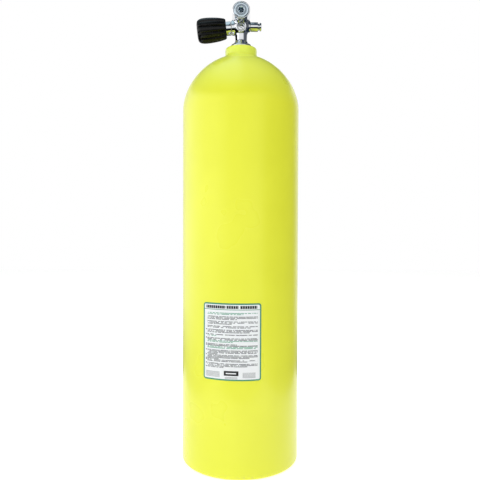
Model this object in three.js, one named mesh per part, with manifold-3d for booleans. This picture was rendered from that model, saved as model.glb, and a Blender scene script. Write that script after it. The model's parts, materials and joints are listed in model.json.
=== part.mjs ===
// Scuba tank: a painted aluminium cylinder with a chrome plated tank valve.
// Millimetres, +Z up. The origin is the centre of the flat base. The valve outlet faces -Y,
// the handwheel is at -X, the burst disc plug at +X and the yoke screw dimple at +Y.

import * as THREE from "three";
import { mergeVertices } from "three/addons/utils/BufferGeometryUtils.js";
import Module from "manifold-3d";

const wasm = await Module();
wasm.setup();

// ---------------------------------------------------------------- driving dimensions

const GAP = 0.3; // between neighbours that touch on the real object
const WELD = 1e-4;
const ROUND = 24; // facets round a middle-sized piece
const ROUND_LARGE = 48;
const ROUND_SMALL = 16;
const BOOLEAN_REACH = 0.5; // how far a cutting tool runs past the face that it opens

const TANK = {
  radius: 92.07, // 7.25 in outside diameter
  height: 655,
  wall: 13,
  baseThickness: 21,
  baseCorner: 5,
  innerCorner: 34,
  domeStart: 554.9,
  domeHeight: 89.06,
  domeExponent: 1.873,
  innerDomeStart: 546,
  innerDomeHeight: 70,
  neckRadius: 25.25,
  neckFillet: 4,
  rimRound: 3.5,
  boreRadius: 13.4,
  glandRadius: 17,
  glandDepth: 3.4,
};

const LABEL = { fromDeg: -35.6, toDeg: 19.3, bottom: 146.6, height: 112.7, thickness: 0.2, corner: 4 };

const INLET = {
  radius: 13.1,
  reliefRadius: 12.2,
  reliefLength: 4.6,
  reliefStep: 1,
  length: 24,
  chamfer: 1.6,
};
const FLANGE = { radius: 18.2, thickness: 2.7 };
const FLARE = { rimRadius: 16.2, rimRise: 2, bendRadius: 12, bendRise: 5, footRise: 7 };
const COLUMN = { footRadius: 10.4, waistRadius: 9.8, topRadius: 11.2, waist: 668.5, top: 706 };
const NECK_ORING = { radius: 14.26, halfWidth: 1.7, halfHeight: 1.55 };

const OUTLET = {
  axisZ: 706.5,
  radius: 13.6,
  front: 28,
  back: 14,
  bevel: 1.3,
  backBevel: 2.6,
  threadRadius: 11.6, // G5/8 opening, cut smooth
  threadDepth: 13.6,
  seatRadius: 8.2,
  seatDepth: 3.4,
  passageRadius: 2.4,
};
const DIMPLE = { mouthRadius: 6.4, floorRadius: 3.6, depth: 3 };

const INSERT = {
  radius: 11.3,
  length: 13,
  noseRadius: 6,
  noseLength: 2.7,
  hexAcrossFlats: 8,
  hexDepth: 9,
  passageRadius: 2.6,
  grooveInner: 6,
  grooveOuter: 8.25,
  grooveDepth: 1.35,
  bevel: 0.6,
};
const FACE_ORING = { radius: 7.1, halfWidth: 0.85, halfHeight: 0.82, lift: 0.35 };
const REAR_ORING = { radius: 7.2, halfWidth: 0.8, halfHeight: 0.95 };

const STEM = {
  axisZ: 689.2,
  tiltDeg: 5.5, // the side port leans down by this much, away from the body
  bossRootRadius: 12.2,
  bossRootEnd: 9,
  bossTipRadius: 11.2,
  bossTipStart: 12.5,
  bossEnd: 15.5,
  chamberRadius: 6.3,
  seatLand: 2.5,
  orificeRadius: 1.8,
  counterboreRadius: 8.7,
  counterboreStart: 11,
};
const BONNET = {
  radius: 10.75,
  start: 16.2,
  end: 28,
  spigotRadius: 8.4,
  spigotStart: 11.3,
  boreRadius: 6.2,
  boreEnd: 18.1,
  shankBore: 3.3,
  sealBore: 5,
  sealStart: 21,
  sealEnd: 24,
  bevel: 1,
};
const BONNET_WASHER = { innerRadius: 8.7, outerRadius: 10.2, start: 15.62, end: 16.08 };
const THRUST_WASHER = { innerRadius: 3.3, outerRadius: 5.7, start: 17, end: 17.8 };
const STEM_ORING = { radius: 4.0, halfWidth: 0.7, halfHeight: 1.1, at: 22.5 };
const SPINDLE = {
  tangStart: 9.7,
  tangWidth: 6,
  tangThickness: 1.8,
  collarRadius: 5.6,
  collarStart: 15.8,
  collarEnd: 16.7,
  radius: 3,
  squareStart: 28.6,
  squareEnd: 44,
  squareSide: 5.8,
  threadRadius: 2.4,
  end: 59,
};
const CARRIER = {
  radius: 5.95,
  start: 3.4,
  end: 12.4,
  pocketRadius: 3.9,
  pocketEnd: 5.3,
  slotStart: 6.4,
  slotWidth: 6.6,
  slotThickness: 2.4,
};
const SEAT = { radius: 3.6, start: 2.8, end: 5 };

const KNOB = {
  start: 24,
  end: 70.4,
  innerRadius: 12,
  endHoleRadius: 8.5,
  endHoleStart: 62,
  ribs: 12,
  ribDepth: 0.9,
  stepsPerRib: 4,
  skin: [
    // radius, and distance from the end that faces the valve
    [13.8, 0],
    [15.3, 1.2],
    [16.2, 3.6],
    [17.9, 12],
    [19, 22],
    [19.4, 31],
    [19, 38],
    [17.7, 42.5],
    [15.2, 45.4],
    [11.9, 46.4],
  ],
};
const CORE = { radius: 11.7, start: 29, end: 61.6, webEnd: 40, squareBore: 6.5, chamberRadius: 8 };
const SPRING = { radius: 5.4, wire: 0.65, start: 41.2, end: 51.4, turns: 5, stepsPerTurn: 10 };
const KNOB_WASHER = { innerRadius: 2.8, outerRadius: 7.2, start: 52.4, end: 53.4 };
const KNOB_NUT = { acrossFlats: 10, bore: 2.75, start: 53.7, end: 58 };

const BURST = {
  axisZ: 690,
  bossRootRadius: 9.2,
  bossRootEnd: 10,
  bossTipRadius: 7.6,
  bossEnd: 14.5,
  boreRadius: 4.7,
  boreStart: 8.2,
  spigotRadius: 4.4,
  spigotStart: 10,
  headStart: 14.8,
  headRadius: 7.2,
  headEnd: 26.8,
  grooveRadius: 5.2,
  discStart: 29.6,
  discRadius: 6.3,
  end: 32.2,
  bevel: 0.7,
  ventRadius: 1.5,
  ventHoleRadius: 0.9,
  vents: 4,
};
const BURST_GASKET = { innerRadius: 2.6, outerRadius: 4.4, start: 8.5, end: 9.1 };
const BURST_DISC = { radius: 4.4, start: 9.35, end: 9.7 };

const PLUG = {
  axisZ: 687,
  bossRadius: 8.4,
  bossEnd: 12.2,
  bevel: 0.9,
  boreRadius: 6.2,
  boreStart: 7.4,
  headRadius: 5.9,
  headStart: 8.9,
  headEnd: 11.7,
  barWidth: 2.6,
  barTurnDeg: -32,
  pocketRadius: 4.9,
  pocketDepth: 1.5,
};
const PLUG_ORING = { radius: 4.9, halfWidth: 0.7, halfHeight: 0.42, at: 8.2 };

const GASWAY = {
  inletRadius: 4.3,
  inletTop: 645,
  radius: 3.4,
  top: 670,
  sideStart: 667,
  sideRadius: 2.1,
  sideReach: 6.5,
  burstRadius: 1.5,
};
const DIP_TUBE = { innerRadius: 2.9, outerRadius: 4, start: 588, end: 643 };

// ---------------------------------------------------------------- geometry helpers

const radians = THREE.MathUtils.degToRad;

function signedVolume(geometry) {
  const position = geometry.getAttribute("position");
  const index = geometry.getIndex();
  const corners = [new THREE.Vector3(), new THREE.Vector3(), new THREE.Vector3()];
  let volume = 0;
  for (let i = 0; i < index.count; i += 3) {
    corners.forEach((corner, k) => corner.fromBufferAttribute(position, index.getX(i + k)));
    volume += corners[0].dot(corners[1].clone().cross(corners[2])) / 6;
  }
  return volume;
}

// One closed mesh with shared vertices, no flat triangles and its faces pointing out.
function weld(source) {
  const bare = new THREE.BufferGeometry();
  bare.setAttribute("position", source.getAttribute("position").clone());
  bare.setIndex(source.getIndex());
  const merged = mergeVertices(bare, WELD);
  const old = merged.getIndex();
  const kept = [];
  for (let i = 0; i < old.count; i += 3) {
    const [a, b, c] = [old.getX(i), old.getX(i + 1), old.getX(i + 2)];
    if (a !== b && b !== c && c !== a) {
      kept.push(a, b, c);
    }
  }
  merged.setIndex(kept);
  if (signedVolume(merged) < 0) {
    merged.setIndex(kept.reverse());
  }
  return merged;
}

function toManifold(geometry) {
  const welded = weld(geometry);
  return new wasm.Manifold(
    new wasm.Mesh({
      numProp: 3,
      vertProperties: new Float32Array(welded.getAttribute("position").array),
      triVerts: new Uint32Array(welded.getIndex().array),
    }),
  );
}

function toGeometry(manifold) {
  const mesh = manifold.getMesh();
  const geometry = new THREE.BufferGeometry();
  geometry.setAttribute("position", new THREE.BufferAttribute(mesh.vertProperties, 3));
  geometry.setIndex(new THREE.BufferAttribute(mesh.triVerts, 1));
  return geometry;
}

function join(...geometries) {
  return toGeometry(geometries.map(toManifold).reduce((whole, next) => whole.add(next)));
}

function cut(geometry, ...tools) {
  const blank = toManifold(geometry);
  return toGeometry(tools.map(toManifold).reduce((left, tool) => left.subtract(tool), blank));
}

// Turns a profile of [radius, height] points about +Z.
function turned(profile, segments = ROUND) {
  const points = profile.map(([radius, height]) => new THREE.Vector2(radius, height));
  return weld(new THREE.LatheGeometry(points, segments).rotateX(Math.PI / 2));
}

function rod(radius, bottom, top, segments = ROUND) {
  return turned([[0, bottom], [radius, bottom], [radius, top], [0, top]], segments);
}

function ring(inner, outer, bottom, top, segments = ROUND) {
  return turned([[inner, bottom], [outer, bottom], [outer, top], [inner, top], [inner, bottom]], segments);
}

const disc = ({ radius, start, end }) => rod(radius, start, end, ROUND_SMALL);

function washer({ innerRadius, outerRadius, start, end }, segments = ROUND) {
  return ring(innerRadius, outerRadius, start, end, segments);
}

function cone(bottomRadius, topRadius, bottom, top, segments = ROUND) {
  return turned([[0, bottom], [bottomRadius, bottom], [topRadius, top], [0, top]], segments);
}

// A straight prism with flat sides; acrossFlats is measured between opposite sides.
function prism(sides, acrossFlats, bottom, top) {
  const corner = acrossFlats / 2 / Math.cos(Math.PI / sides);
  const shape = new THREE.CylinderGeometry(corner, corner, top - bottom, sides);
  return shape.rotateX(Math.PI / 2).rotateZ(Math.PI / sides).translate(0, 0, (bottom + top) / 2);
}

function block(width, depth, bottom, top) {
  return new THREE.BoxGeometry(width, depth, top - bottom).translate(0, 0, (bottom + top) / 2);
}

// An O-ring of oval section about +Z.
function oRing({ radius, halfWidth, halfHeight }, height, segments = ROUND, sectionSteps = 8) {
  const profile = [];
  for (let i = 0; i <= sectionSteps; i += 1) {
    const angle = (2 * Math.PI * i) / sectionSteps;
    profile.push([radius + halfWidth * Math.cos(angle), height + halfHeight * Math.sin(angle)]);
  }
  return turned(profile, segments);
}

function boreBetween(from, to, radius) {
  const start = new THREE.Vector3(...from);
  const run = new THREE.Vector3(...to).sub(start);
  const bore = rod(radius, 0, run.length(), ROUND_SMALL);
  const turn = new THREE.Quaternion().setFromUnitVectors(new THREE.Vector3(0, 0, 1), run.normalize());
  return bore.applyQuaternion(turn).translate(...start.toArray());
}

// Points of a circular arc from one angle to another, in degrees, ends included.
function arc(centre, radius, fromDeg, toDeg, steps) {
  return Array.from({ length: steps + 1 }, (_, i) => {
    const angle = radians(fromDeg + ((toDeg - fromDeg) * i) / steps);
    return [centre[0] + radius * Math.cos(angle), centre[1] + radius * Math.sin(angle)];
  });
}

// A shoulder: the upper quarter of |r/a|^n + |z/b|^n = 1, from its foot up to the radius `until`.
function shoulder(radius, foot, height, exponent, until, steps) {
  const last = Math.acos((until / radius) ** (exponent / 2));
  return Array.from({ length: steps + 1 }, (_, i) => {
    const angle = (last * i) / steps;
    return [radius * Math.cos(angle) ** (2 / exponent), foot + height * Math.sin(angle) ** (2 / exponent)];
  });
}

// ---------------------------------------------------------------- axes of the valve's ports

// Each frame's own +Z runs out of the body along that port.
function portFrame(height, rotateX, rotateY) {
  const turn = new THREE.Matrix4().makeRotationFromEuler(new THREE.Euler(rotateX, rotateY, 0));
  return turn.setPosition(0, 0, height);
}

const FRAMES = {
  upright: new THREE.Matrix4(),
  outlet: portFrame(OUTLET.axisZ, Math.PI / 2, 0),
  plug: portFrame(PLUG.axisZ, Math.PI / 2, 0),
  burst: portFrame(BURST.axisZ, 0, Math.PI / 2),
  stem: portFrame(STEM.axisZ, 0, -Math.PI / 2 - radians(STEM.tiltDeg)),
};

const placed = (geometry, frame) => geometry.applyMatrix4(FRAMES[frame]);

// ---------------------------------------------------------------- materials

function material(color, roughness, metalness) {
  return new THREE.MeshStandardMaterial({ color, roughness, metalness });
}

const paint = () => material("#e6f04a", 0.28, 0);
const chrome = () => material("#c9ccd0", 0.12, 1);
const brass = () => material("#b7974f", 0.35, 1);
const steel = () => material("#a9abad", 0.35, 1);
const copper = () => material("#b8704a", 0.4, 1);
const blackRubber = () => material("#161616", 0.62, 0);
const seal = () => material("#1c1c1c", 0.55, 0);
const nylon = () => material("#e7e3d6", 0.45, 0);
const blackNylon = () => material("#202022", 0.5, 0);
const film = () => material("#dfe3e4", 0.3, 0);

// ---------------------------------------------------------------- cylinder and label

function cylinder() {
  const inner = TANK.radius - TANK.wall;
  const neckFoot = shoulder(
    TANK.radius, TANK.domeStart, TANK.domeHeight, TANK.domeExponent, TANK.neckRadius + TANK.neckFillet, 12,
  );
  const [, filletFoot] = neckFoot.at(-1);
  const rimCentre = [TANK.neckRadius - TANK.rimRound, TANK.height - TANK.rimRound];
  const floor = TANK.baseThickness;
  return turned(
    [
      [0, 0],
      ...arc([TANK.radius - TANK.baseCorner, TANK.baseCorner], TANK.baseCorner, -90, 0, 3),
      ...neckFoot,
      [TANK.neckRadius + TANK.neckFillet * 0.25, filletFoot + TANK.neckFillet * 0.45],
      [TANK.neckRadius, filletFoot + TANK.neckFillet * 1.2],
      ...arc(rimCentre, TANK.rimRound, 0, 90, 3),
      [TANK.glandRadius, TANK.height],
      [TANK.glandRadius, TANK.height - TANK.glandDepth],
      [TANK.boreRadius, TANK.height - TANK.glandDepth],
      ...shoulder(
        inner, TANK.innerDomeStart, TANK.innerDomeHeight, TANK.domeExponent, TANK.boreRadius, 7,
      ).reverse(),
      ...arc([inner - TANK.innerCorner, floor + TANK.innerCorner], TANK.innerCorner, 0, -90, 4),
      [0, floor],
    ],
    ROUND_LARGE,
  );
}

// A curved sheet with rounded corners, lying round the cylinder.
function infoLabel() {
  const inside = TANK.radius + GAP;
  const outside = inside + LABEL.thickness;
  const halfAngle = radians(LABEL.toDeg - LABEL.fromDeg) / 2;
  const section = new THREE.Shape();
  section.absarc(0, 0, outside, -halfAngle, halfAngle, false);
  section.absarc(0, 0, inside, halfAngle, -halfAngle, true);
  const rise = { depth: LABEL.height, bevelEnabled: false, curveSegments: 6 };
  const sheet = new THREE.ExtrudeGeometry(section, rise);

  const { corner } = LABEL;
  const right = outside * Math.sin(halfAngle) + GAP;
  const left = -right;
  const top = LABEL.height + GAP;
  const outline = new THREE.Shape();
  outline.absarc(right - corner, corner, corner, -Math.PI / 2, 0);
  outline.absarc(right - corner, top - corner, corner, 0, Math.PI / 2);
  outline.absarc(left + corner, top - corner, corner, Math.PI / 2, Math.PI);
  outline.absarc(left + corner, corner, corner, Math.PI, 1.5 * Math.PI);
  const reach = { depth: 2 * outside, bevelEnabled: false, curveSegments: 2 };
  const punch = new THREE.ExtrudeGeometry(outline, reach);
  punch.rotateX(Math.PI / 2).rotateZ(Math.PI / 2);

  const rounded = toManifold(sheet).intersect(toManifold(punch));
  const middle = radians((LABEL.fromDeg + LABEL.toDeg) / 2 - 90);
  return toGeometry(rounded).rotateZ(middle).translate(0, 0, LABEL.bottom);
}

// ---------------------------------------------------------------- valve body

function valveColumn() {
  const seatZ = TANK.height + GAP;
  const flangeTop = seatZ + FLANGE.thickness;
  const inletBottom = TANK.height - INLET.length;
  return turned([
    [0, inletBottom],
    [INLET.radius - INLET.chamfer, inletBottom],
    [INLET.radius, inletBottom + INLET.chamfer],
    [INLET.radius, TANK.height - INLET.reliefLength],
    [INLET.reliefRadius, TANK.height - INLET.reliefLength + INLET.reliefStep],
    [INLET.reliefRadius, seatZ],
    [FLANGE.radius, seatZ],
    [FLANGE.radius, flangeTop],
    [FLARE.rimRadius, flangeTop + FLARE.rimRise],
    [FLARE.bendRadius, flangeTop + FLARE.bendRise],
    [COLUMN.footRadius, flangeTop + FLARE.footRise],
    [COLUMN.waistRadius, COLUMN.waist],
    [COLUMN.topRadius, COLUMN.top],
    [0, COLUMN.top],
  ]);
}

function outletBarrel() {
  const { radius, front, back, bevel, backBevel } = OUTLET;
  return placed(
    turned([
      [0, -back],
      [radius - backBevel, -back],
      [radius, backBevel - back],
      [radius, front - bevel],
      [radius - bevel, front],
      [0, front],
    ]),
    "outlet",
  );
}

function stemBoss() {
  const { bossRootRadius, bossRootEnd, bossTipRadius, bossTipStart, bossEnd } = STEM;
  return placed(
    turned([
      [0, 0],
      [bossRootRadius, 0],
      [bossRootRadius, bossRootEnd],
      [bossTipRadius, bossTipStart],
      [bossTipRadius, bossEnd],
      [0, bossEnd],
    ]),
    "stem",
  );
}

function burstBoss() {
  const { bossRootRadius, bossRootEnd, bossTipRadius, bossEnd } = BURST;
  const root = [[0, 0], [bossRootRadius, 0], [bossRootRadius, bossRootEnd]];
  return placed(turned([...root, [bossTipRadius, bossEnd], [0, bossEnd]]), "burst");
}

function plugBoss() {
  const { bossRadius, bossEnd, bevel } = PLUG;
  const side = [[0, 0], [bossRadius, 0], [bossRadius, bossEnd - bevel]];
  return placed(turned([...side, [bossRadius - bevel, bossEnd], [0, bossEnd]]), "plug");
}

function outletBore() {
  const { front, threadRadius, threadDepth, seatRadius, seatDepth, passageRadius } = OUTLET;
  const threadEnd = front - threadDepth;
  const seatEnd = threadEnd - seatDepth;
  return placed(
    turned([
      [0, 0],
      [passageRadius, 0],
      [passageRadius, seatEnd],
      [seatRadius, seatEnd],
      [seatRadius, threadEnd],
      [threadRadius, threadEnd],
      [threadRadius, front + BOOLEAN_REACH],
      [0, front + BOOLEAN_REACH],
    ]),
    "outlet",
  );
}

function stemBore() {
  const { orificeRadius, seatLand, chamberRadius, counterboreStart, counterboreRadius, bossEnd } = STEM;
  return placed(
    turned([
      [0, -orificeRadius],
      [orificeRadius, -orificeRadius],
      [orificeRadius, seatLand],
      [chamberRadius, seatLand],
      [chamberRadius, counterboreStart],
      [counterboreRadius, counterboreStart],
      [counterboreRadius, bossEnd + BOOLEAN_REACH],
      [0, bossEnd + BOOLEAN_REACH],
    ]),
    "stem",
  );
}

function yokeDimple() {
  const { mouthRadius, floorRadius, depth } = DIMPLE;
  const flare = ((mouthRadius - floorRadius) * BOOLEAN_REACH) / depth;
  return placed(
    cone(mouthRadius + flare, floorRadius, -OUTLET.back - BOOLEAN_REACH, -OUTLET.back + depth),
    "outlet",
  );
}

function gasways() {
  const inletBottom = TANK.height - INLET.length - BOOLEAN_REACH;
  const fork = [0, 0, GASWAY.sideStart];
  const stemEnd = [-GASWAY.sideReach, 0, STEM.axisZ];
  const burstEnd = [BURST.boreStart + 1, 0, BURST.axisZ];
  return [
    rod(GASWAY.inletRadius, inletBottom, GASWAY.inletTop),
    rod(GASWAY.radius, GASWAY.inletTop - BOOLEAN_REACH, GASWAY.top, ROUND_SMALL),
    boreBetween(fork, stemEnd, GASWAY.sideRadius),
    boreBetween(fork, burstEnd, GASWAY.burstRadius),
    boreBetween([0, 0, STEM.axisZ], [0, 0, OUTLET.axisZ], STEM.orificeRadius),
  ];
}

function valveBody() {
  const solid = join(valveColumn(), outletBarrel(), stemBoss(), burstBoss(), plugBoss());
  return cut(
    solid,
    outletBore(),
    stemBore(),
    yokeDimple(),
    placed(rod(BURST.boreRadius, BURST.boreStart, BURST.bossEnd + BOOLEAN_REACH), "burst"),
    placed(rod(PLUG.boreRadius, PLUG.boreStart, PLUG.bossEnd + BOOLEAN_REACH), "plug"),
    ...gasways(),
  );
}

// ---------------------------------------------------------------- outlet insert

function outletInsert() {
  const { radius, length, noseRadius, noseLength, bevel } = INSERT;
  const face = OUTLET.front;
  const back = face - length;
  const blank = turned([
    [0, back - noseLength],
    [noseRadius, back - noseLength],
    [noseRadius, back],
    [radius, back],
    [radius, face - bevel],
    [radius - bevel, face],
    [0, face],
  ]);
  return cut(
    blank,
    prism(6, INSERT.hexAcrossFlats, face - INSERT.hexDepth, face + BOOLEAN_REACH),
    rod(INSERT.passageRadius, back - noseLength - BOOLEAN_REACH, face - INSERT.hexDepth + 1, ROUND_SMALL),
    ring(INSERT.grooveInner, INSERT.grooveOuter, face - INSERT.grooveDepth, face + BOOLEAN_REACH),
  );
}

// ---------------------------------------------------------------- stem, seat and bonnet

function bonnetNut() {
  const { radius, start, end, bevel, spigotRadius, spigotStart, boreRadius, boreEnd } = BONNET;
  return turned([
    [boreRadius, spigotStart],
    [spigotRadius, spigotStart],
    [spigotRadius, start],
    [radius, start],
    [radius, end - bevel],
    [radius - bevel, end],
    [BONNET.shankBore, end],
    [BONNET.shankBore, BONNET.sealEnd],
    [BONNET.sealBore, BONNET.sealEnd],
    [BONNET.sealBore, BONNET.sealStart],
    [BONNET.shankBore, BONNET.sealStart],
    [BONNET.shankBore, boreEnd],
    [boreRadius, boreEnd],
    [boreRadius, spigotStart],
  ]);
}

function spindle() {
  const shaft = turned(
    [
      [0, SPINDLE.collarStart],
      [SPINDLE.collarRadius, SPINDLE.collarStart],
      [SPINDLE.collarRadius, SPINDLE.collarEnd],
      [SPINDLE.radius, SPINDLE.collarEnd],
      [SPINDLE.radius, SPINDLE.squareStart],
      [SPINDLE.threadRadius, SPINDLE.squareStart],
      [SPINDLE.threadRadius, SPINDLE.end],
      [0, SPINDLE.end],
    ],
    ROUND_SMALL,
  );
  return join(
    shaft,
    block(SPINDLE.tangWidth, SPINDLE.tangThickness, SPINDLE.tangStart, SPINDLE.collarStart + BOOLEAN_REACH),
    prism(4, SPINDLE.squareSide, SPINDLE.squareStart, SPINDLE.squareEnd),
  );
}

function seatCarrier() {
  return cut(
    rod(CARRIER.radius, CARRIER.start, CARRIER.end, ROUND_SMALL),
    rod(CARRIER.pocketRadius, CARRIER.start - BOOLEAN_REACH, CARRIER.pocketEnd, ROUND_SMALL),
    block(CARRIER.slotWidth, CARRIER.slotThickness, CARRIER.slotStart, CARRIER.end + BOOLEAN_REACH),
  );
}

// ---------------------------------------------------------------- handwheel

// Presses shallow hollows into the outer skin between evenly spaced ribs.
function fluted(geometry, count, depth, skinRadius) {
  const position = geometry.getAttribute("position");
  for (let i = 0; i < position.count; i += 1) {
    const x = position.getX(i);
    const y = position.getY(i);
    const radius = Math.hypot(x, y);
    if (radius > skinRadius) {
      const hollow = depth * (0.5 - 0.5 * Math.cos(count * Math.atan2(y, x)));
      position.setXY(i, (x * (radius - hollow)) / radius, (y * (radius - hollow)) / radius);
    }
  }
  return geometry;
}

function knobGrip() {
  const profile = [
    [KNOB.innerRadius, KNOB.start],
    ...KNOB.skin.map(([radius, along]) => [radius, KNOB.start + along]),
    [KNOB.endHoleRadius, KNOB.end],
    [KNOB.endHoleRadius, KNOB.endHoleStart],
    [KNOB.innerRadius, KNOB.endHoleStart],
    [KNOB.innerRadius, KNOB.start],
  ];
  const smooth = turned(profile, KNOB.ribs * KNOB.stepsPerRib);
  return fluted(smooth, KNOB.ribs, KNOB.ribDepth, KNOB.innerRadius + 1);
}

function knobCore() {
  const { radius, start, end, webEnd, squareBore, chamberRadius } = CORE;
  return cut(
    rod(radius, start, end),
    rod(chamberRadius, webEnd, end + BOOLEAN_REACH),
    prism(4, squareBore, start - BOOLEAN_REACH, webEnd + BOOLEAN_REACH),
  );
}

function knobSpring() {
  const points = [];
  const steps = SPRING.turns * SPRING.stepsPerTurn;
  for (let i = 0; i <= steps; i += 1) {
    const angle = (2 * Math.PI * i) / SPRING.stepsPerTurn;
    const height = SPRING.start + ((SPRING.end - SPRING.start) * i) / steps;
    points.push(new THREE.Vector3(SPRING.radius * Math.cos(angle), SPRING.radius * Math.sin(angle), height));
  }
  const section = new THREE.Shape();
  section.absarc(0, 0, SPRING.wire, 0, 2 * Math.PI);
  const extrudePath = new THREE.CatmullRomCurve3(points);
  const sweep = { extrudePath, steps, bevelEnabled: false, curveSegments: 3 };
  return weld(new THREE.ExtrudeGeometry(section, sweep));
}

function knobNut() {
  const { acrossFlats, bore, start, end } = KNOB_NUT;
  const hole = rod(bore, start - BOOLEAN_REACH, end + BOOLEAN_REACH, ROUND_SMALL);
  return cut(prism(6, acrossFlats, start, end), hole);
}

// ---------------------------------------------------------------- burst disc plug and front plug

function burstPlug() {
  const { bevel, headStart, headRadius, headEnd, grooveRadius, discStart, discRadius, end } = BURST;
  const blank = turned([
    [0, BURST.spigotStart],
    [BURST.spigotRadius, BURST.spigotStart],
    [BURST.spigotRadius, headStart],
    [headRadius, headStart],
    [headRadius, headEnd - bevel],
    [headRadius - bevel, headEnd],
    [grooveRadius, headEnd],
    [grooveRadius, discStart],
    [discRadius, discStart],
    [discRadius, end - bevel],
    [discRadius - bevel, end],
    [0, end],
  ]);
  const ventX = (headEnd + discStart) / 2;
  const vents = Array.from({ length: BURST.vents / 2 }, (_, i) => {
    const across = rod(BURST.ventHoleRadius, -headRadius, headRadius, ROUND_SMALL).rotateX(Math.PI / 2);
    return across.rotateZ((2 * Math.PI * i) / BURST.vents + Math.PI / 4).translate(0, 0, ventX);
  });
  return cut(blank, rod(BURST.ventRadius, BURST.spigotStart - BOOLEAN_REACH, ventX, ROUND_SMALL), ...vents);
}

// A round plug head with a grip bar left standing between two half-round pockets.
function frontPlug() {
  const floor = PLUG.headEnd - PLUG.pocketDepth;
  const pocket = rod(PLUG.pocketRadius, floor, PLUG.headEnd + BOOLEAN_REACH, ROUND_SMALL);
  const bar = block(2 * PLUG.headRadius, PLUG.barWidth, floor - 1, PLUG.headEnd + 1);
  const head = cut(rod(PLUG.headRadius, PLUG.headStart, PLUG.headEnd, ROUND_SMALL * 1.5), cut(pocket, bar));
  return head.rotateZ(radians(PLUG.barTurnDeg));
}

// ---------------------------------------------------------------- assembly

const group = new THREE.Group();

function addPart(name, geometry, finish, frame = "upright") {
  const mesh = new THREE.Mesh(geometry, finish);
  mesh.name = name;
  mesh.applyMatrix4(FRAMES[frame]);
  group.add(mesh);
}

const insertBack = OUTLET.front - INSERT.length;

addPart("cylinder", cylinder(), paint());
addPart("info_label", infoLabel(), film());
addPart("valve_body", valveBody(), chrome());
addPart("neck_oring", oRing(NECK_ORING, TANK.height - TANK.glandDepth + 0.2 + NECK_ORING.halfHeight), seal());
addPart("dip_tube", washer(DIP_TUBE, ROUND_SMALL), brass());

addPart("outlet_insert", outletInsert(), chrome(), "outlet");
addPart("insert_face_oring", oRing(FACE_ORING, OUTLET.front - FACE_ORING.lift), seal(), "outlet");
addPart("insert_rear_oring", oRing(REAR_ORING, insertBack - GAP - REAR_ORING.halfHeight), seal(), "outlet");

addPart("bonnet_nut", bonnetNut(), chrome(), "stem");
addPart("bonnet_washer", washer(BONNET_WASHER), nylon(), "stem");
addPart("thrust_washer", washer(THRUST_WASHER, ROUND_SMALL), nylon(), "stem");
addPart("stem_oring", oRing(STEM_ORING, STEM_ORING.at, ROUND_SMALL), seal(), "stem");
addPart("stem", spindle(), steel(), "stem");
addPart("seat_carrier", seatCarrier(), brass(), "stem");
addPart("seat_insert", disc(SEAT), nylon(), "stem");

addPart("knob_grip", knobGrip(), blackRubber(), "stem");
addPart("knob_core", knobCore(), blackNylon(), "stem");
addPart("knob_spring", knobSpring(), steel(), "stem");
addPart("knob_washer", washer(KNOB_WASHER, ROUND_SMALL), steel(), "stem");
addPart("knob_nut", knobNut(), steel(), "stem");

addPart("burst_plug", burstPlug(), chrome(), "burst");
addPart("burst_disc", disc(BURST_DISC), copper(), "burst");
addPart("burst_gasket", washer(BURST_GASKET, ROUND_SMALL), nylon(), "burst");
addPart("front_plug", frontPlug(), chrome(), "plug");
addPart("front_plug_oring", oRing(PLUG_ORING, PLUG_ORING.at, ROUND_SMALL), seal(), "plug");

export default group;
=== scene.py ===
"""A scuba tank: its painted cylinder, printed label and chrome plated valve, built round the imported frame.

Lengths in the mesh code are millimetres in the frame of a port, whose +Z runs out of the valve along it.
A port's matrix takes them to metres in the row frame.
"""

import json
import math

import bmesh
import bpy
import numpy as np
from bpy.props import FloatProperty, FloatVectorProperty, IntProperty, PointerProperty
from mathutils import Matrix, Vector


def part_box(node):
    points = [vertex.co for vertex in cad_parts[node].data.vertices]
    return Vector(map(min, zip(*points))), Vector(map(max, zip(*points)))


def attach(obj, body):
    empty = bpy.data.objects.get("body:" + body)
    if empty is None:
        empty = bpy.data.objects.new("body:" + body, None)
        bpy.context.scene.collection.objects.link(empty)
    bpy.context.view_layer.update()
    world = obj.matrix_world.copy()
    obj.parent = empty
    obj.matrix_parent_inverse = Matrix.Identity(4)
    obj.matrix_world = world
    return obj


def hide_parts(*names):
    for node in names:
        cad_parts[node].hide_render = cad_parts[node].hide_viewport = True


bl_info = {
    "name": "Scuba Tank",
    "version": (1, 0, 0),
    "blender": (4, 5, 0),
    "location": "View3D > Sidebar > Scuba Tank",
    "description": "Builds a scuba tank with its valve, handwheel and label",
    "category": "Add Mesh",
}

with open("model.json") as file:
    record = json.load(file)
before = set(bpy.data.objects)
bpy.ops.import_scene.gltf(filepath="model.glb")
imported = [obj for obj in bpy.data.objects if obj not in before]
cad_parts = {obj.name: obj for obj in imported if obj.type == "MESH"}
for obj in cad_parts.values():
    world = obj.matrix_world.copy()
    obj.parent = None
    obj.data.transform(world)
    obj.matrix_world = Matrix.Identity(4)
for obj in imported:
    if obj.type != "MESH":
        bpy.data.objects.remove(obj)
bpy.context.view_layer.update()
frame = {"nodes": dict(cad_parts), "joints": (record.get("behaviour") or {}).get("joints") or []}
JOINTS = {joint["name"]: joint for joint in frame["joints"]}

MM = 0.001

# ---------------------------------------------------------------- places, from the frame


def port(origin, direction):
    """A port's matrix, in millimetres: +Z runs out along direction and +Y is as near upwards as it can be."""
    out = Vector(direction).normalized()
    side = Vector((0, 0, 1)).cross(out).normalized()
    turn = Matrix((side, out.cross(side), out)).transposed().to_4x4()
    return Matrix.Translation(Vector(origin)) @ turn @ Matrix.Scale(MM, 4)


def box_middle(node):
    low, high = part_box(node)
    return (low + high) / 2


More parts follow.
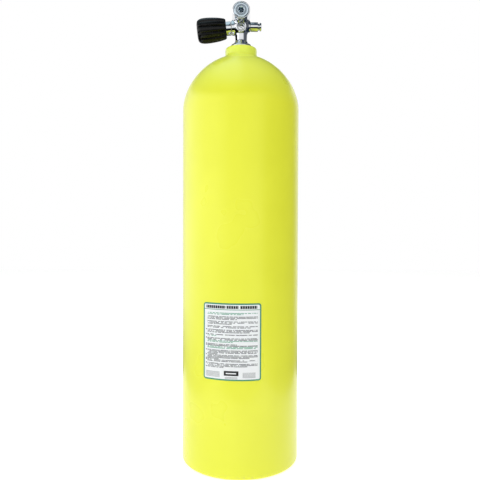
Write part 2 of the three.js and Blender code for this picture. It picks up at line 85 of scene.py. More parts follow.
UPRIGHT = Matrix.Scale(MM, 4)
STEM_PORT = port(JOINTS["handwheel_turn"]["pos_m"], JOINTS["handwheel_turn"]["axis"])
OUTLET_PORT = port((0, 0, JOINTS["insert_turn"]["pos_m"][2]), JOINTS["insert_turn"]["axis"])
BURST_PORT = port((0, 0, box_middle("burst_plug").z), (1, 0, 0))
PLUG_PORT = port((0, 0, box_middle("front_plug").z), (0, -1, 0))

CYLINDER_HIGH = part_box("cylinder")[1]
LABEL_LOW, LABEL_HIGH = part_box("info_label")
NECK_TOP = CYLINDER_HIGH.z / MM

# ---------------------------------------------------------------- fixed sizes, in millimetres

NECK_PITCH = 1.814  # 14 threads to the inch, on the neck and in the outlet
NECK_THREAD = 0.55  # depth of those threads
STEM_PITCH = 0.8
STEM_THREAD = 0.32
FIELD_STEP = 0.4  # lattice spacing of the valve body and the seat carrier
FINE_STEP = 0.22  # lattice spacing of the two plugs
SETTLINGS = 6  # how often a skin's points are moved onto its surface
SHARP_TURNED = 32  # degrees between faces past which a turned edge stays crisp
SHARP_FIELD = 40  # the same for a skin

# ---------------------------------------------------------------- colour and nodes


def srgb(code):
    """A six-figure sRGB hex code as linear red, green, blue and alpha."""
    channels = [int(code[i : i + 2], 16) / 255 for i in (0, 2, 4)]
    linear = [c / 12.92 if c <= 0.04045 else ((c + 0.055) / 1.055) ** 2.4 for c in channels]
    return (*linear, 1.0)


def add(tree, kind, inputs=(), out=0, **settings):
    """Adds a shader node, fills its open inputs by name or in order, and returns one of its outputs."""
    node = tree.nodes.new("ShaderNode" + kind)
    for key, value in settings.items():
        setattr(node, key, value)
    sockets = [socket for socket in node.inputs if socket.enabled]
    by_name = {socket.name: socket for socket in sockets}
    for key, value in inputs.items() if isinstance(inputs, dict) else enumerate(inputs):
        socket = by_name[key] if isinstance(key, str) else sockets[key]
        if isinstance(value, bpy.types.NodeSocket):
            tree.links.new(value, socket)
        elif socket.type == "RGBA":
            socket.default_value = srgb(value) if isinstance(value, str) else (*value[:3], 1)
        else:
            socket.default_value = value
    outputs = [socket for socket in node.outputs if socket.enabled]
    return outputs[out] if isinstance(out, int) else next(socket for socket in outputs if socket.name == out)


def per_mm(size):
    """The scale of a pattern whose features are size millimetres across, for positions in metres."""
    return 1 / (size * MM)


def new_material(name):
    """A material with only a Principled shader, and the row-frame position that its patterns read."""
    material = bpy.data.materials.new(name)
    material.use_nodes = True
    tree = material.node_tree
    shader = tree.nodes["Principled BSDF"]
    place = add(tree, "TexCoord", out="Object")
    return material, tree, shader, place


def finish(tree, shader, linked, fixed):
    """Links the patterns to the shader, and sets on its own sockets what is the same all over the surface."""
    for name, socket in linked.items():
        tree.links.new(socket, shader.inputs[name])
    for name, value in fixed.items():
        shader.inputs[name].default_value = value


# ---------------------------------------------------------------- materials


FOOT_RUB = (0.001, 0.010)  # heights between which the rubbing at the foot fades out, in metres
RIM_RUB = 0.0015  # how far down the rubbing at the rim reaches
SPECK_TONE, SPECK_SHARE = "D8DC46", 0.12
WORN_TONE, WORN_SHARE = "B9B98C", 0.5


def powder_coated_aluminium(settings):
    """Lemon polyester powder coat: glossy, with a faint orange peel, rubbed dull at the foot and the rim; the
    dome and neck carry painted light, a lighter, greener yellow.
    """
    material, tree, shader, place = new_material("powder_coated_aluminium")
    height = add(tree, "SeparateXYZ", {"Vector": place}, out="Z")
    cloud = add(tree, "TexNoise", {"Vector": place, "Scale": per_mm(140), "Detail": 3})
    speck = add(tree, "TexNoise", {"Vector": place, "Scale": per_mm(0.9), "Detail": 1})
    scuff = add(tree, "TexNoise", {"Vector": place, "Scale": per_mm(3.2), "Detail": 6, "Roughness": 0.7})
    peel = add(tree, "TexNoise", {"Vector": place, "Scale": per_mm(2.4), "Detail": 1})
    grain = add(tree, "TexNoise", {"Vector": place, "Scale": per_mm(0.5), "Detail": 1})

    low, high = FOOT_RUB
    foot = {"Value": height, "From Min": low, "From Max": high, "To Min": 1, "To Max": 0}
    foot = add(tree, "MapRange", foot)
    low, high = settings.height - RIM_RUB, settings.height
    rim = add(tree, "MapRange", {"Value": height, "From Min": low, "From Max": high})
    edges = add(tree, "Math", [foot, rim], operation="MAXIMUM")
    patches = add(tree, "MapRange", {"Value": scuff, "From Min": 0.52, "From Max": 0.62})
    worn = add(tree, "Math", [edges, patches], operation="MULTIPLY")
    dulled = add(tree, "Math", [worn, WORN_SHARE], operation="MULTIPLY")

    share = {"Value": cloud, "From Min": 0.3, "From Max": 0.7}
    share = add(tree, "MapRange", share, interpolation_type="SMOOTHSTEP")
    body = add(tree, "Mix", [share, settings.paint, settings.paint_deep], data_type="RGBA")
    # Painted light: from the dome's start up to the neck, the coat fades to the lighter, greener dome colour,
    # standing in for light falling on the shoulder from above.
    low, high = settings.dome_start, settings.neck_start
    lift = add(tree, "MapRange", {"Value": height, "From Min": low, "From Max": high})
    shade = add(tree, "Mix", [lift, body, settings.dome_painted_light], data_type="RGBA")
    specks = add(tree, "MapRange", {"Value": speck, "From Min": 0.64, "From Max": 0.8, "To Max": SPECK_SHARE})
    speckled = add(tree, "Mix", [specks, shade, SPECK_TONE], data_type="RGBA")
    colour = add(tree, "Mix", [dulled, speckled, WORN_TONE], data_type="RGBA")
    gloss = add(tree, "MapRange", {"Value": share, "To Min": 0.27, "To Max": 0.3})
    roughness = add(tree, "Math", [worn, 0.3, gloss], operation="MULTIPLY_ADD")
    orange_peel = add(tree, "Bump", {"Height": peel, "Distance": 0.05 * MM})
    surface = add(tree, "Bump", {"Height": grain, "Distance": 0.008 * MM, "Normal": orange_peel})
    linked = {"Base Color": colour, "Roughness": roughness, "Normal": surface}
    finish(tree, shader, linked, {"IOR": 1.5, "Coat Weight": 0.3, "Coat Roughness": 0.1})
    return material


def polished_chrome_plate(settings):
    """Chrome on polished brass: a near mirror, with the faint waves and wipe marks of hand buffing."""
    material, tree, shader, place = new_material("polished_chrome_plate")
    smear = add(tree, "TexNoise", {"Vector": place, "Scale": per_mm(7), "Detail": 4, "Roughness": 0.6})
    buff = add(tree, "TexWave", {"Vector": place, "Scale": per_mm(9), "Distortion": 9, "Detail": 4})
    wave = add(tree, "TexNoise", {"Vector": place, "Scale": per_mm(5), "Detail": 1})
    colour = add(tree, "Mix", [smear, settings.chrome, settings.chrome_deep], data_type="RGBA")
    roughness = add(tree, "MapRange", {"Value": smear, "To Min": 0.02, "To Max": 0.08})
    wavy = add(tree, "Bump", {"Height": wave, "Distance": 0.02 * MM})
    surface = add(tree, "Bump", {"Height": buff, "Distance": 0.0015 * MM, "Normal": wavy})
    linked = {"Base Color": colour, "Roughness": roughness, "Normal": surface}
    finish(tree, shader, linked, {"Metallic": 1})
    return material


def satin_chrome_plate(settings):
    """Chrome over a turned face: the tool's fine rings make it greyer and softer than the buffed body."""
    material, tree, shader, place = new_material("satin_chrome_plate")
    smear = add(tree, "TexNoise", {"Vector": place, "Scale": per_mm(3), "Detail": 4, "Roughness": 0.6})
    centred = add(tree, "VectorMath", [place, tuple(OUTLET_PORT.translation)], operation="SUBTRACT")
    rings = add(
        tree, "TexWave", {"Vector": centred, "Scale": per_mm(2), "Distortion": 0.4},
        wave_type="RINGS", rings_direction="Y",
    )
    colour = add(tree, "Mix", [smear, settings.satin, settings.satin_deep], data_type="RGBA")
    roughness = add(tree, "MapRange", {"Value": smear, "To Min": 0.1, "To Max": 0.2})
    surface = add(tree, "Bump", {"Height": rings, "Distance": 0.004 * MM})
    linked = {"Base Color": colour, "Roughness": roughness, "Normal": surface}
    finish(tree, shader, linked, {"Metallic": 1})
    return material


def lathe_turned(name, light, deep, roughness, feed):
    """Bare metal off the lathe, with tool lines feed millimetres apart and an uneven, handled tone."""
    material, tree, shader, place = new_material(name)
    tool = add(tree, "TexWave", {"Vector": place, "Scale": per_mm(feed * 6), "Distortion": 1.2, "Detail": 2})
    handled = add(tree, "TexNoise", {"Vector": place, "Scale": per_mm(2.5), "Detail": 3})
    colour = add(tree, "Mix", [handled, light, deep], data_type="RGBA")
    gloss = add(tree, "MapRange", {"Value": handled, "To Min": roughness, "To Max": roughness + 0.12})
    surface = add(tree, "Bump", {"Height": tool, "Distance": 0.01 * MM})
    finish(tree, shader, {"Base Color": colour, "Roughness": gloss, "Normal": surface}, {"Metallic": 1})
    return material


def turned_brass(settings):
    """Free-cutting brass: a warm, pale gold with a satin sheen."""
    return lathe_turned("turned_brass", "C9A45A", "A8843F", 0.24, 0.25)


def turned_stainless_steel(settings):
    """Stainless steel bar: neutral grey, a little brighter on its edges."""
    return lathe_turned("turned_stainless_steel", "C3C5C7", "A4A7AA", 0.22, 0.2)


def rolled_copper(settings):
    """Soft copper foil: a dull pink-brown from the annealing."""
    return lathe_turned("rolled_copper_foil", "C77C55", "A9623F", 0.34, 0.3)


def moulded(name, light, deep, roughness, grain_size, grain_depth, ior, specular=0.5):
    """Moulded rubber or plastic: an even skin with a fine mould grain, dusted and dulled in soft patches."""
    material, tree, shader, place = new_material(name)
    dust = add(tree, "TexNoise", {"Vector": place, "Scale": per_mm(9), "Detail": 4, "Roughness": 0.6})
    grain = {"Vector": place, "Scale": per_mm(grain_size), "Detail": 2, "Roughness": 0.6}
    grain = add(tree, "TexNoise", grain)
    patch = add(tree, "MapRange", {"Value": dust, "From Min": 0.4, "From Max": 0.75})
    colour = add(tree, "Mix", [patch, deep, light], data_type="RGBA")
    gloss = add(tree, "MapRange", {"Value": patch, "To Min": roughness, "To Max": roughness + 0.14})
    surface = add(tree, "Bump", {"Height": grain, "Distance": grain_depth * MM})
    fixed = {"IOR": ior, "Specular IOR Level": specular}
    finish(tree, shader, {"Base Color": colour, "Roughness": gloss, "Normal": surface}, fixed)
    return material


def moulded_grip_rubber(settings):
    """Nitrile rubber from a spark-finished mould: black, with a soft sheen on the ribs."""
    worn, clean = settings.rubber_worn, settings.rubber
    return moulded("moulded_grip_rubber", worn, clean, 0.22, 0.35, 0.012, 1.52, specular=0.26)


def moulded_seal_rubber(settings):
    """O-ring rubber: smooth and black."""
    return moulded("moulded_seal_rubber", "2A2A2B", "121213", 0.3, 0.2, 0.006, 1.52)


def cast_polyurethane(settings):
    """Hard cast polyurethane, for the seal on the outlet's face: smooth, milky grey-blue."""
    return moulded("cast_polyurethane", "A3AEB6", "8794A0", 0.25, 0.3, 0.004, 1.5)


def moulded_black_nylon(settings):
    """Glass-filled nylon: dark grey-black with a dull, slightly streaked skin."""
    return moulded("moulded_black_nylon", "303134", "1A1B1D", 0.42, 0.4, 0.012, 1.53)


def machined_white_nylon(settings):
    """Natural nylon: a warm, waxy white."""
    return moulded("machined_white_nylon", "DDD8C8", "ECE8DC", 0.4, 0.4, 0.008, 1.53)


# The label's print. Lengths are in millimetres, across from its left edge and down from its top edge.
# Each block of rows has its first row, its number of rows, how far across its last row runs, and its ink.
ROW_PITCH, FIRST_ROW = 1.76, -0.5
PRINT_BLOCKS = [
    (8, 2, 0.72, "green"),
    (11, 3, 0.6, "grey"),
    (15, 3, 0.5, "grey"),
    (19, 2, 0.86, "grey"),
    (22, 3, 0.84, "grey"),
    (26, 1, 1.0, "black"),
    (27, 1, 0.2, "green"),
    (29, 2, 1.0, "black"),
    (31, 2, 0.52, "green"),
    (34, 1, 0.6, "grey"),
    (35, 1, 1.0, "black"),
    (36, 2, 0.96, "green"),
    (39, 4, 0.22, "grey"),
    (43, 3, 0.84, "grey"),
    (46, 1, 0.24, "grey"),
    (47, 2, 0.8, "grey"),
    (50, 3, 0.8, "grey"),
    (53, 1, 0.34, "grey"),
]
BULLET_ROWS = [22, 26, 29, 34, 35, 39, 43, 46, 47, 50, 53]
INKS = {
    "green": "4C9C7E",
    "grey": "565B60",
    "black": "2E3236",
    "bullet": "3C4044",
    "heading": "15181B",
    "badge": "101214",
}
LABEL_MARGINS = (7.0, 5.4)  # bare film left and right of the rows
BULLET_SPAN = (4.2, 6.0)
HEADING = (3.6, 7.9)
HEADING_WORDS = [(4.9, 35.6), (37.4, 55.0), (57.0, 82.4)]
LETTER, LETTER_FILL = 3.4, 0.86  # pitch of the heading's bars, and how much of it each fills
RULE = (9.0, 9.9)
ROW_BAND = (0.16, 0.82)  # the part of a row's height that its strokes fill
WORD_GAP = 0.64  # noise above this leaves a gap between words
NOTE_SHARE = 0.6  # how strongly the notes are inked
BADGE = ((33.5, 55.0), (98.4, 105.4))
BADGE_BAR = ((36.5, 51.5), (101.2, 102.8))
NOTES = [((4.7, 27.0), (99.5, 108.0)), ((61.0, 80.0), (100.6, 108.8)), ((35.0, 53.5), (106.8, 110.4))]


def inside(tree, value, limits):
    """1 where value lies between the limits, and 0 elsewhere."""
    above = add(tree, "Math", [value, limits[0]], operation="GREATER_THAN")
    below = add(tree, "Math", [value, limits[1]], operation="LESS_THAN")
    return add(tree, "Math", [above, below], operation="MULTIPLY")


def boxed(tree, across, down, box):
    """1 within a box on the label, given as its limits across and its limits down, and 0 elsewhere."""
    return add(tree, "Math", [inside(tree, across, box[0]), inside(tree, down, box[1])], operation="MULTIPLY")


def total(tree, values):
    """The sum of some values."""
    result = 0
    for value in values:
        result = add(tree, "Math", [value, result], operation="ADD")
    return result


def row_ramp(tree, row_share, blocks, rows):
    """The ink colour of each row of print, and in the alpha how far across the label the row runs."""
    print_at = {}
    for first, count, last_end, ink in blocks:
        for row in range(first, first + count):
            print_at[row] = (ink, last_end if row == first + count - 1 else 1)
    colour = add(tree, "ValToRGB", {"Fac": row_share})
    ramp = colour.node.color_ramp
    ramp.interpolation = "CONSTANT"
    ramp.elements[0].position, ramp.elements[1].position = 0, 1
    bare = ("grey", 0)
    ramp.elements[0].color = (*srgb(INKS[bare[0]])[:3], bare[1])
    for row in range(min(print_at), max(print_at) + 2):
        ink, end = print_at.get(row, bare)
        if (ink, end) != print_at.get(row - 1, bare):
            ramp.elements.new((row - 0.01) / rows).color = (*srgb(INKS[ink])[:3], end)
    return colour, colour.node.outputs["Alpha"]


def screen_printed_vinyl(settings):
    """White vinyl film, screen printed and overlaminated: matt inks under an even, soft gloss."""
    material, tree, shader, place = new_material("screen_printed_vinyl")
    uv = add(tree, "UVMap", uv_map="print")
    across = add(tree, "SeparateXYZ", {"Vector": uv}, out="X")
    down = add(tree, "SeparateXYZ", {"Vector": uv}, out="Y")
    width, height = settings.width / MM, settings.height / MM
    left, right = LABEL_MARGINS[0], width - LABEL_MARGINS[1]

    # Rows of greeked text: strokes broken up by noise, with gaps between the words.
    from_first = add(tree, "Math", [down, FIRST_ROW], operation="SUBTRACT")
    row = add(tree, "Math", [from_first, ROW_PITCH], operation="DIVIDE")
    rows = math.ceil(height / ROW_PITCH)
    row_share = add(tree, "Math", [row, rows], operation="DIVIDE")
    half = len(PRINT_BLOCKS) // 2
    upper_ink, upper_end = row_ramp(tree, row_share, PRINT_BLOCKS[:half], rows)
    lower_ink, lower_end = row_ramp(tree, row_share, PRINT_BLOCKS[half:], rows)
    lower = add(tree, "Math", [row, PRINT_BLOCKS[half][0] - 0.5], operation="GREATER_THAN")
    ink = add(tree, "Mix", [lower, upper_ink, lower_ink], data_type="RGBA")
    end = add(tree, "Mix", [lower, upper_end, lower_end])
    line_right = add(tree, "Math", [end, right - left, left], operation="MULTIPLY_ADD")
    row_number = add(tree, "Math", [row], operation="FLOOR")
    within = add(tree, "Math", [row], operation="FRACT")
    band = inside(tree, within, ROW_BAND)
    row_seed = add(tree, "Math", [row_number, 7.3], operation="MULTIPLY")
    word_place = add(tree, "CombineXYZ", [across, row_seed])
    word = add(tree, "TexNoise", {"Vector": word_place, "Scale": 0.45, "Detail": 0})
    stroke_place = add(tree, "CombineXYZ", [across, row_seed, within])
    stroke = add(tree, "TexNoise", {"Vector": stroke_place, "Scale": 2.1, "Detail": 1})
    strokes = add(tree, "MapRange", {"Value": stroke, "From Min": 0.36, "From Max": 0.5, "To Min": 0.6})
    lettering = add(tree, "Math", [band, strokes], operation="MULTIPLY")
    words = add(tree, "Math", [word, WORD_GAP], operation="LESS_THAN")
    text = add(tree, "Math", [lettering, words], operation="MULTIPLY")
    text = add(tree, "Math", [text, inside(tree, across, (left, line_right))], operation="MULTIPLY")
    colour = add(tree, "Mix", [text, settings.film, ink], data_type="RGBA")

    # Bullets, the heavy heading bars, the plain badge and the small notes beside and below it.
    dots = total(tree, [inside(tree, row, (bullet + 0.1, bullet + 0.85)) for bullet in BULLET_ROWS])
    dots = add(tree, "Math", [dots, inside(tree, across, BULLET_SPAN)], operation="MULTIPLY")
    glyph = add(tree, "Math", [add(tree, "Math", [across, LETTER], operation="DIVIDE")], operation="FRACT")
    bars = add(tree, "Math", [glyph, LETTER_FILL], operation="LESS_THAN")
    titles = total(tree, [boxed(tree, across, down, (ends, HEADING)) for ends in HEADING_WORDS])
    heading = add(tree, "Math", [bars, titles], operation="MULTIPLY")
    badge, badge_bar = (boxed(tree, across, down, box) for box in (BADGE, BADGE_BAR))
    badge = add(tree, "Math", [badge, badge_bar], operation="SUBTRACT")
    notes = total(tree, [boxed(tree, across, down, box) for box in NOTES])
    notes = add(tree, "Math", [notes, lettering], operation="MULTIPLY")
    notes = add(tree, "Math", [notes, NOTE_SHARE], operation="MULTIPLY")
    for mark, tone in ((dots, "bullet"), (heading, "heading"), (badge, "badge"), (notes, "grey")):
        colour = add(tree, "Mix", [mark, colour, INKS[tone]], data_type="RGBA")

    # The green border follows the rounded edge, and a rule closes the heading.
    corner = settings.corner / MM
    inset = []
    for position, size in ((across, width), (down, height)):
        offset = add(tree, "Math", [position, size / 2], operation="SUBTRACT")
        centred = add(tree, "Math", [offset], operation="ABSOLUTE")
        inset.append(add(tree, "Math", [size / 2, centred], operation="SUBTRACT"))
    reach = [
        add(tree, "Math", [add(tree, "Math", [corner, edge], operation="SUBTRACT"), 0], operation="MAXIMUM")
        for edge in inset
    ]
    diagonal = add(tree, "VectorMath", [add(tree, "CombineXYZ", reach)], out="Value", operation="LENGTH")
    from_corner = add(tree, "Math", [corner, diagonal], operation="SUBTRACT")
    from_side = add(tree, "Math", inset, operation="MINIMUM")
    from_edge = add(tree, "Math", [from_side, from_corner], operation="MINIMUM")
    border = add(tree, "Math", [from_edge, settings.border / MM], operation="LESS_THAN")
    border = add(tree, "Math", [border, inside(tree, down, RULE)], operation="MAXIMUM")
    colour = add(tree, "Mix", [border, colour, settings.border_green], data_type="RGBA")

    cloud = add(tree, "TexNoise", {"Vector": place, "Scale": per_mm(12), "Detail": 3})
    fibre = add(tree, "TexNoise", {"Vector": place, "Scale": per_mm(0.8), "Detail": 2})
    gloss = add(tree, "MapRange", {"Value": cloud, "To Min": 0.28, "To Max": 0.42})
    surface = add(tree, "Bump", {"Height": fibre, "Distance": 0.006 * MM})
    linked = {"Base Color": colour, "Roughness": gloss, "Normal": surface}
    finish(tree, shader, linked, {"IOR": 1.48, "Coat Weight": 0.2, "Coat Roughness": 0.2})
    return material


def rolled_floor_paint(settings):
    """Matt white studio floor paint, rolled on, with a barely visible mottle."""
    material, tree, shader, place = new_material("rolled_floor_paint")
    mottle = add(tree, "TexNoise", {"Vector": place, "Scale": per_mm(180), "Detail": 3})
    nap = add(tree, "TexNoise", {"Vector": place, "Scale": per_mm(2), "Detail": 2})
    colour = add(tree, "Mix", [mottle, settings.floor, "F3F3F1"], data_type="RGBA")
    surface = add(tree, "Bump", {"Height": nap, "Distance": 0.02 * MM})
    fixed = {"Roughness": 0.9, "Emission Color": (1, 1, 1, 1), "Emission Strength": settings.floor_glow}
    finish(tree, shader, {"Base Color": colour, "Normal": surface}, fixed)
    return material


# What polished metal reflects, from straight down at 0 to straight up at 1. These bands, and the regions that
# follow, were laid out to suit the front view. They aren't a real room, and only reflected rays
# see them.
STRAIGHT_DOWN, STRAIGHT_UP = "0A0908", "D4E4EE"
STUDIO_BANDS = [
    (0.3, "050505"),
    (0.38, "7C8686"),
    (0.43, "FFFFFF"),
    (0.71, "F8F6F6"),
    (0.76, "6B6C72"),
    (0.89, "869CA6"),
    (0.95, "C9E8F1"),
]
# A dark region fades in to the far right, and another both high up and right of the middle. The far left is
# brighter. The limits are parts of a ray's direction: its share to the right, or upwards.
FAR_RIGHT, HIGH_UP, RIGHT_OF_MIDDLE = (0.55, 0.8), (0.42, 0.52), (0.008, 0.024)
DARK_TONE, DARK_SHARE = "1A2738", 0.9
FAR_LEFT, LEFT_GAIN = (-0.55, -1), 2.1
ROOM_LIGHT = (0.34, 0.34, 0.34)
BACKDROP = (1, 1, 1)

# Each softbox: its name, its place, the point it faces, its side in metres and its power in watts.
SOFTBOXES = [
    ("key_softbox", (-1.5, -1.7, 0.8), (0, 0, 0.3), 1.3, 11.4),
    ("fill_softbox", (1.8, -1.2, 0.8), (0, 0, 0.35), 1.2, 1.8),
    ("overhead_softbox", (0, -0.2, 2.4), (0, 0, 0), 2.2, 24),
]

MATERIALS = {}


def material_for(make, settings):
    """The material that make gives, made once and then shared. Fixed finishes ignore the settings."""
    if make.__name__ not in MATERIALS:
        MATERIALS[make.__name__] = make(settings)
    return MATERIALS[make.__name__]


# ---------------------------------------------------------------- profiles, as [radius, height] points


def soften(profile, bite=0.4, steps=4):
    """Rounds the corners of a profile, taking at most bite off each side."""
    points = [Vector(point) for point in profile]
    rounded = [points[0]]
    for before, corner, after in zip(points, points[1:], points[2:]):
        reach = min(bite, 0.45 * (corner - before).length, 0.45 * (after - corner).length)
        start = corner + (before - corner).normalized() * reach
        end = corner + (after - corner).normalized() * reach
        for j in range(steps + 1):
            t = j / steps
            rounded.append(start * (1 - t) ** 2 + corner * 2 * t * (1 - t) + end * t * t)
    rounded.append(points[-1])
    return [tuple(point) for point in rounded]


def resampled(profile, spacing):
    """The same profile with points no further apart than spacing."""
    dense = [tuple(profile[0])]
    for start, end in zip(profile, profile[1:]):
        count = max(1, math.ceil(math.dist(start, end) / spacing))
        dense += [tuple(np.add(start, np.subtract(end, start) * (k + 1) / count)) for k in range(count)]
    return dense


def flowing(points, steps=8):
    """A smooth curve through the points."""
    lead_in, lead_out = (Vector(end) * 2 - Vector(near) for end, near in (points[:2], points[:-3:-1]))
    given = [lead_in, *map(Vector, points), lead_out]
    curve = []
    for a, b, c, d in zip(given, given[1:], given[2:], given[3:]):
        for k in range(steps):
            t = k / steps
            bow, twist = 2 * a - 5 * b + 4 * c - d, 3 * b - a - 3 * c + d
            curve.append(0.5 * (2 * b + (c - a) * t + bow * t**2 + twist * t**3))
    return [tuple(point) for point in [*curve, given[-2]]]


def arc(centre, radius, start, end, steps):
    angles = [math.radians(start + (end - start) * i / steps) for i in range(steps + 1)]
    return [(centre[0] + radius * math.cos(a), centre[1] + radius * math.sin(a)) for a in angles]


def bend(start, corner, end, steps):
    """A smooth bend from start to end that heads for the corner."""
    start, corner, end = Vector(start), Vector(corner), Vector(end)
    shares = [i / steps for i in range(steps + 1)]
    return [tuple(start * (1 - t) ** 2 + corner * 2 * t * (1 - t) + end * t * t) for t in shares]


def shoulder(radius, foot, height, exponent, until, steps):
    """A domed shoulder, the upper quarter of |r/a|^n + |z/b|^n = 1, from its foot in to the radius until."""
    last = math.acos((until / radius) ** (exponent / 2))
    power = 2 / exponent
    angles = [last * i / steps for i in range(steps + 1)]
    return [(radius * math.cos(a) ** power, foot + height * math.sin(a) ** power) for a in angles]


# ---------------------------------------------------------------- turned meshes


def clean_mesh(name, points, faces, sharp_degrees=SHARP_TURNED):
    """A smooth-shaded mesh with merged poles, faces pointing out, and crisp edges past an angle."""
    mesh = bpy.data.meshes.new(name)
    mesh.from_pydata(np.asarray(points).tolist(), [], [tuple(map(int, face)) for face in faces])
    work = bmesh.new()
    work.from_mesh(mesh)
    bmesh.ops.remove_doubles(work, verts=work.verts, dist=1e-7)
    bmesh.ops.recalc_face_normals(work, faces=work.faces)
    if work.calc_volume(signed=True) < 0:
        bmesh.ops.reverse_faces(work, faces=work.faces)
    work.to_mesh(mesh)
    work.free()
    mesh.shade_smooth()
    mesh.set_sharp_from_angle(angle=math.radians(sharp_degrees))
    return mesh


def ring_faces(rings, count, closed=False):
    """Quads between neighbouring rings of count points; closed also joins the last ring to the first."""
    faces = []
    for i in range(rings if closed else rings - 1):
        low, high = i * count, ((i + 1) % rings) * count
        faces += [(low + j, low + (j + 1) % count, high + (j + 1) % count, high + j) for j in range(count)]
    return faces


def in_metres(local, place):
    matrix = np.array(place)
    return local @ matrix[:3, :3].T + matrix[:3, 3]


def turned(name, profile, place, segments=96, shape=None):
    """Turns a profile about a port's axis. shape(radius, height, angle) may change the radius on the way."""
    closed = math.dist(profile[0], profile[-1]) < 1e-6
    outline = np.array(profile[:-1] if closed else profile, float)
    angle = np.linspace(0, 2 * math.pi, segments, endpoint=False)
    angle = np.broadcast_to(angle, (len(outline), segments))
    radius = np.repeat(outline[:, :1], segments, axis=1)
    height = np.repeat(outline[:, 1:], segments, axis=1)
    if shape:
        radius = shape(radius, height, angle)
    local = np.stack([radius * np.cos(angle), radius * np.sin(angle), height], axis=-1).reshape(-1, 3)
    return clean_mesh(name, in_metres(local, place), ring_faces(len(outline), segments, closed))


def ring(name, inner, outer, start, end, bite, place):
    """A flat washer with its corners eased by bite."""
    section = [(inner, start), (outer, start), (outer, end), (inner, end), (inner, start)]
    return turned(name, soften(section, bite), place)


def over_flats(sides, angle):
    """What turns a polygon's half width across the flats into its radius at an angle."""
    wedge = 2 * math.pi / sides
    return 1 / np.cos((angle + wedge / 2) % wedge - wedge / 2)


def threaded(crest, start, end, pitch, depth):
    """A shape with a helical groove in the skin at the crest radius. A depth below 0 cuts it outwards."""

    def shape(radius, height, angle):
        turn = (height / pitch - angle / (2 * math.pi)) % 1
        groove = depth * np.clip(1.6 * np.abs(2 * turn - 1) - 0.3, 0, 1)
        fade = np.clip((height - start) / pitch, 0, 1) * np.clip((end - height) / pitch, 0, 1)
        return radius - np.where(np.abs(radius - crest) < 1e-3, groove * fade, 0)

    return shape


def o_ring(node, place):
    """A moulded ring of oval section that fills the box of its CAD node."""
    matrix = np.array(place.inverted())
    corners = np.array([vertex.co for vertex in frame["nodes"][node].data.vertices])
    local = corners @ matrix[:3, :3].T + matrix[:3, 3]
    radii = np.hypot(local[:, 0], local[:, 1])
    spans = [(values.min(), values.max()) for values in (radii, local[:, 2])]
    across, along = ((high + low) / 2 for low, high in spans)
    half_across, half_along = ((high - low) / 2 for low, high in spans)
    section = arc((0, 0), 1, 0, 360, 20)
    profile = [(across + half_across * x, along + half_along * y) for x, y in section]
    return turned(node + "_moulding", profile, place)


def coil(name, radius, wire, start, end, turns, place, sides=12, steps_per_turn=40):
    """A closed helical spring with its end turns laid flat."""
    steps = turns * steps_per_turn
    angle = np.linspace(0, 2 * math.pi * turns, steps + 1)
    end_share = 0.7 / turns
    lift = np.clip((np.linspace(0, 1, steps + 1) - end_share) / (1 - 2 * end_share), 0, 1)
    height = start + (end - start) * lift * lift * (3 - 2 * lift)
    around = np.linspace(0, 2 * math.pi, sides, endpoint=False)
    reach = radius + wire * np.cos(around)
    tall = height[:, None] + wire * np.sin(around)
    points = np.stack([np.outer(np.cos(angle), reach), np.outer(np.sin(angle), reach), tall], axis=-1)
    caps = [tuple(range(sides)), tuple(range(steps * sides, (steps + 1) * sides))]
    return clean_mesh(name, in_metres(points.reshape(-1, 3), place), [*ring_faces(steps + 1, sides), *caps])


# ---------------------------------------------------------------- blended solids, from distance fields


def in_port(points, place):
    """Row-frame points in millimetres as port-frame points, and how far each is from the port's axis."""
    matrix = np.array(place.inverted())
    local = (points * MM) @ matrix[:3, :3].T + matrix[:3, 3]
    return local, np.hypot(local[:, 0], local[:, 1])


def rod(place, radius, low, high, edge=0.5):
    """A rod on a port's axis with rounded edges; radius is a number or a list of (height, radius) points."""

    def distance(points):
        local, out = in_port(points, place)
        height = local[:, 2]
        wall = np.interp(height, *zip(*radius)) if isinstance(radius, list) else radius
        side = out - wall + edge
        end = np.abs(height - (low + high) / 2) - (high - low) / 2 + edge
        outside = np.hypot(np.maximum(side, 0), np.maximum(end, 0))
        return outside + np.minimum(np.maximum(side, end), 0) - edge

    return distance


def bar(place, half_width, turn_degrees):
    """An endless wall across a port's axis, turned about it."""
    turn = math.radians(turn_degrees)

    def distance(points):
        local, _ = in_port(points, place)
        return np.abs(local[:, 1] * math.cos(turn) - local[:, 0] * math.sin(turn)) - half_width

    return distance


def joined(first, second, blend):
    """Two fields as one, with a fillet about blend wide where they meet."""

    def distance(points):
        a, b = first(points), second(points)
        near = np.maximum(blend - np.abs(a - b), 0) / blend
        return np.minimum(a, b) - near * near * blend / 4

    return distance


def cut(first, tool, blend):
    """A field with a tool taken out of it, its edge eased by about blend."""

    def distance(points):
        a, b = first(points), -tool(points)
        near = np.maximum(blend - np.abs(a - b), 0) / blend
        return np.maximum(a, b) + near * near * blend / 4

    return distance


def crossed_cells(value):
    """The lattice cells that a surface passes through, their numbers, and where it lies in each."""
    cells = np.array(value.shape) - 1
    corner = {}
    for offset in np.ndindex(2, 2, 2):
        corner[offset] = value[tuple(slice(o, o + n) for o, n in zip(offset, cells))]
    below = sum((values < 0).astype(np.int8) for values in corner.values())
    cell = np.argwhere((below > 0) & (below < 8))
    number = np.full(cells, -1)
    number[tuple(cell.T)] = np.arange(len(cell))
    total, hits = np.zeros((len(cell), 3)), np.zeros(len(cell))
    for axis in range(3):
        for offset in np.ndindex(2, 2, 2):
            if offset[axis]:
                continue
            far = tuple(1 if k == axis else o for k, o in enumerate(offset))
            a, b = corner[offset][tuple(cell.T)], corner[far][tuple(cell.T)]
            crossed = (a < 0) != (b < 0)
            where = np.tile(np.array(offset, float), (len(cell), 1))
            where[:, axis] = np.where(crossed, a / np.where(crossed, a - b, 1), 0)
            total[crossed] += where[crossed]
            hits[crossed] += 1
    return cell, number, total / hits[:, None]


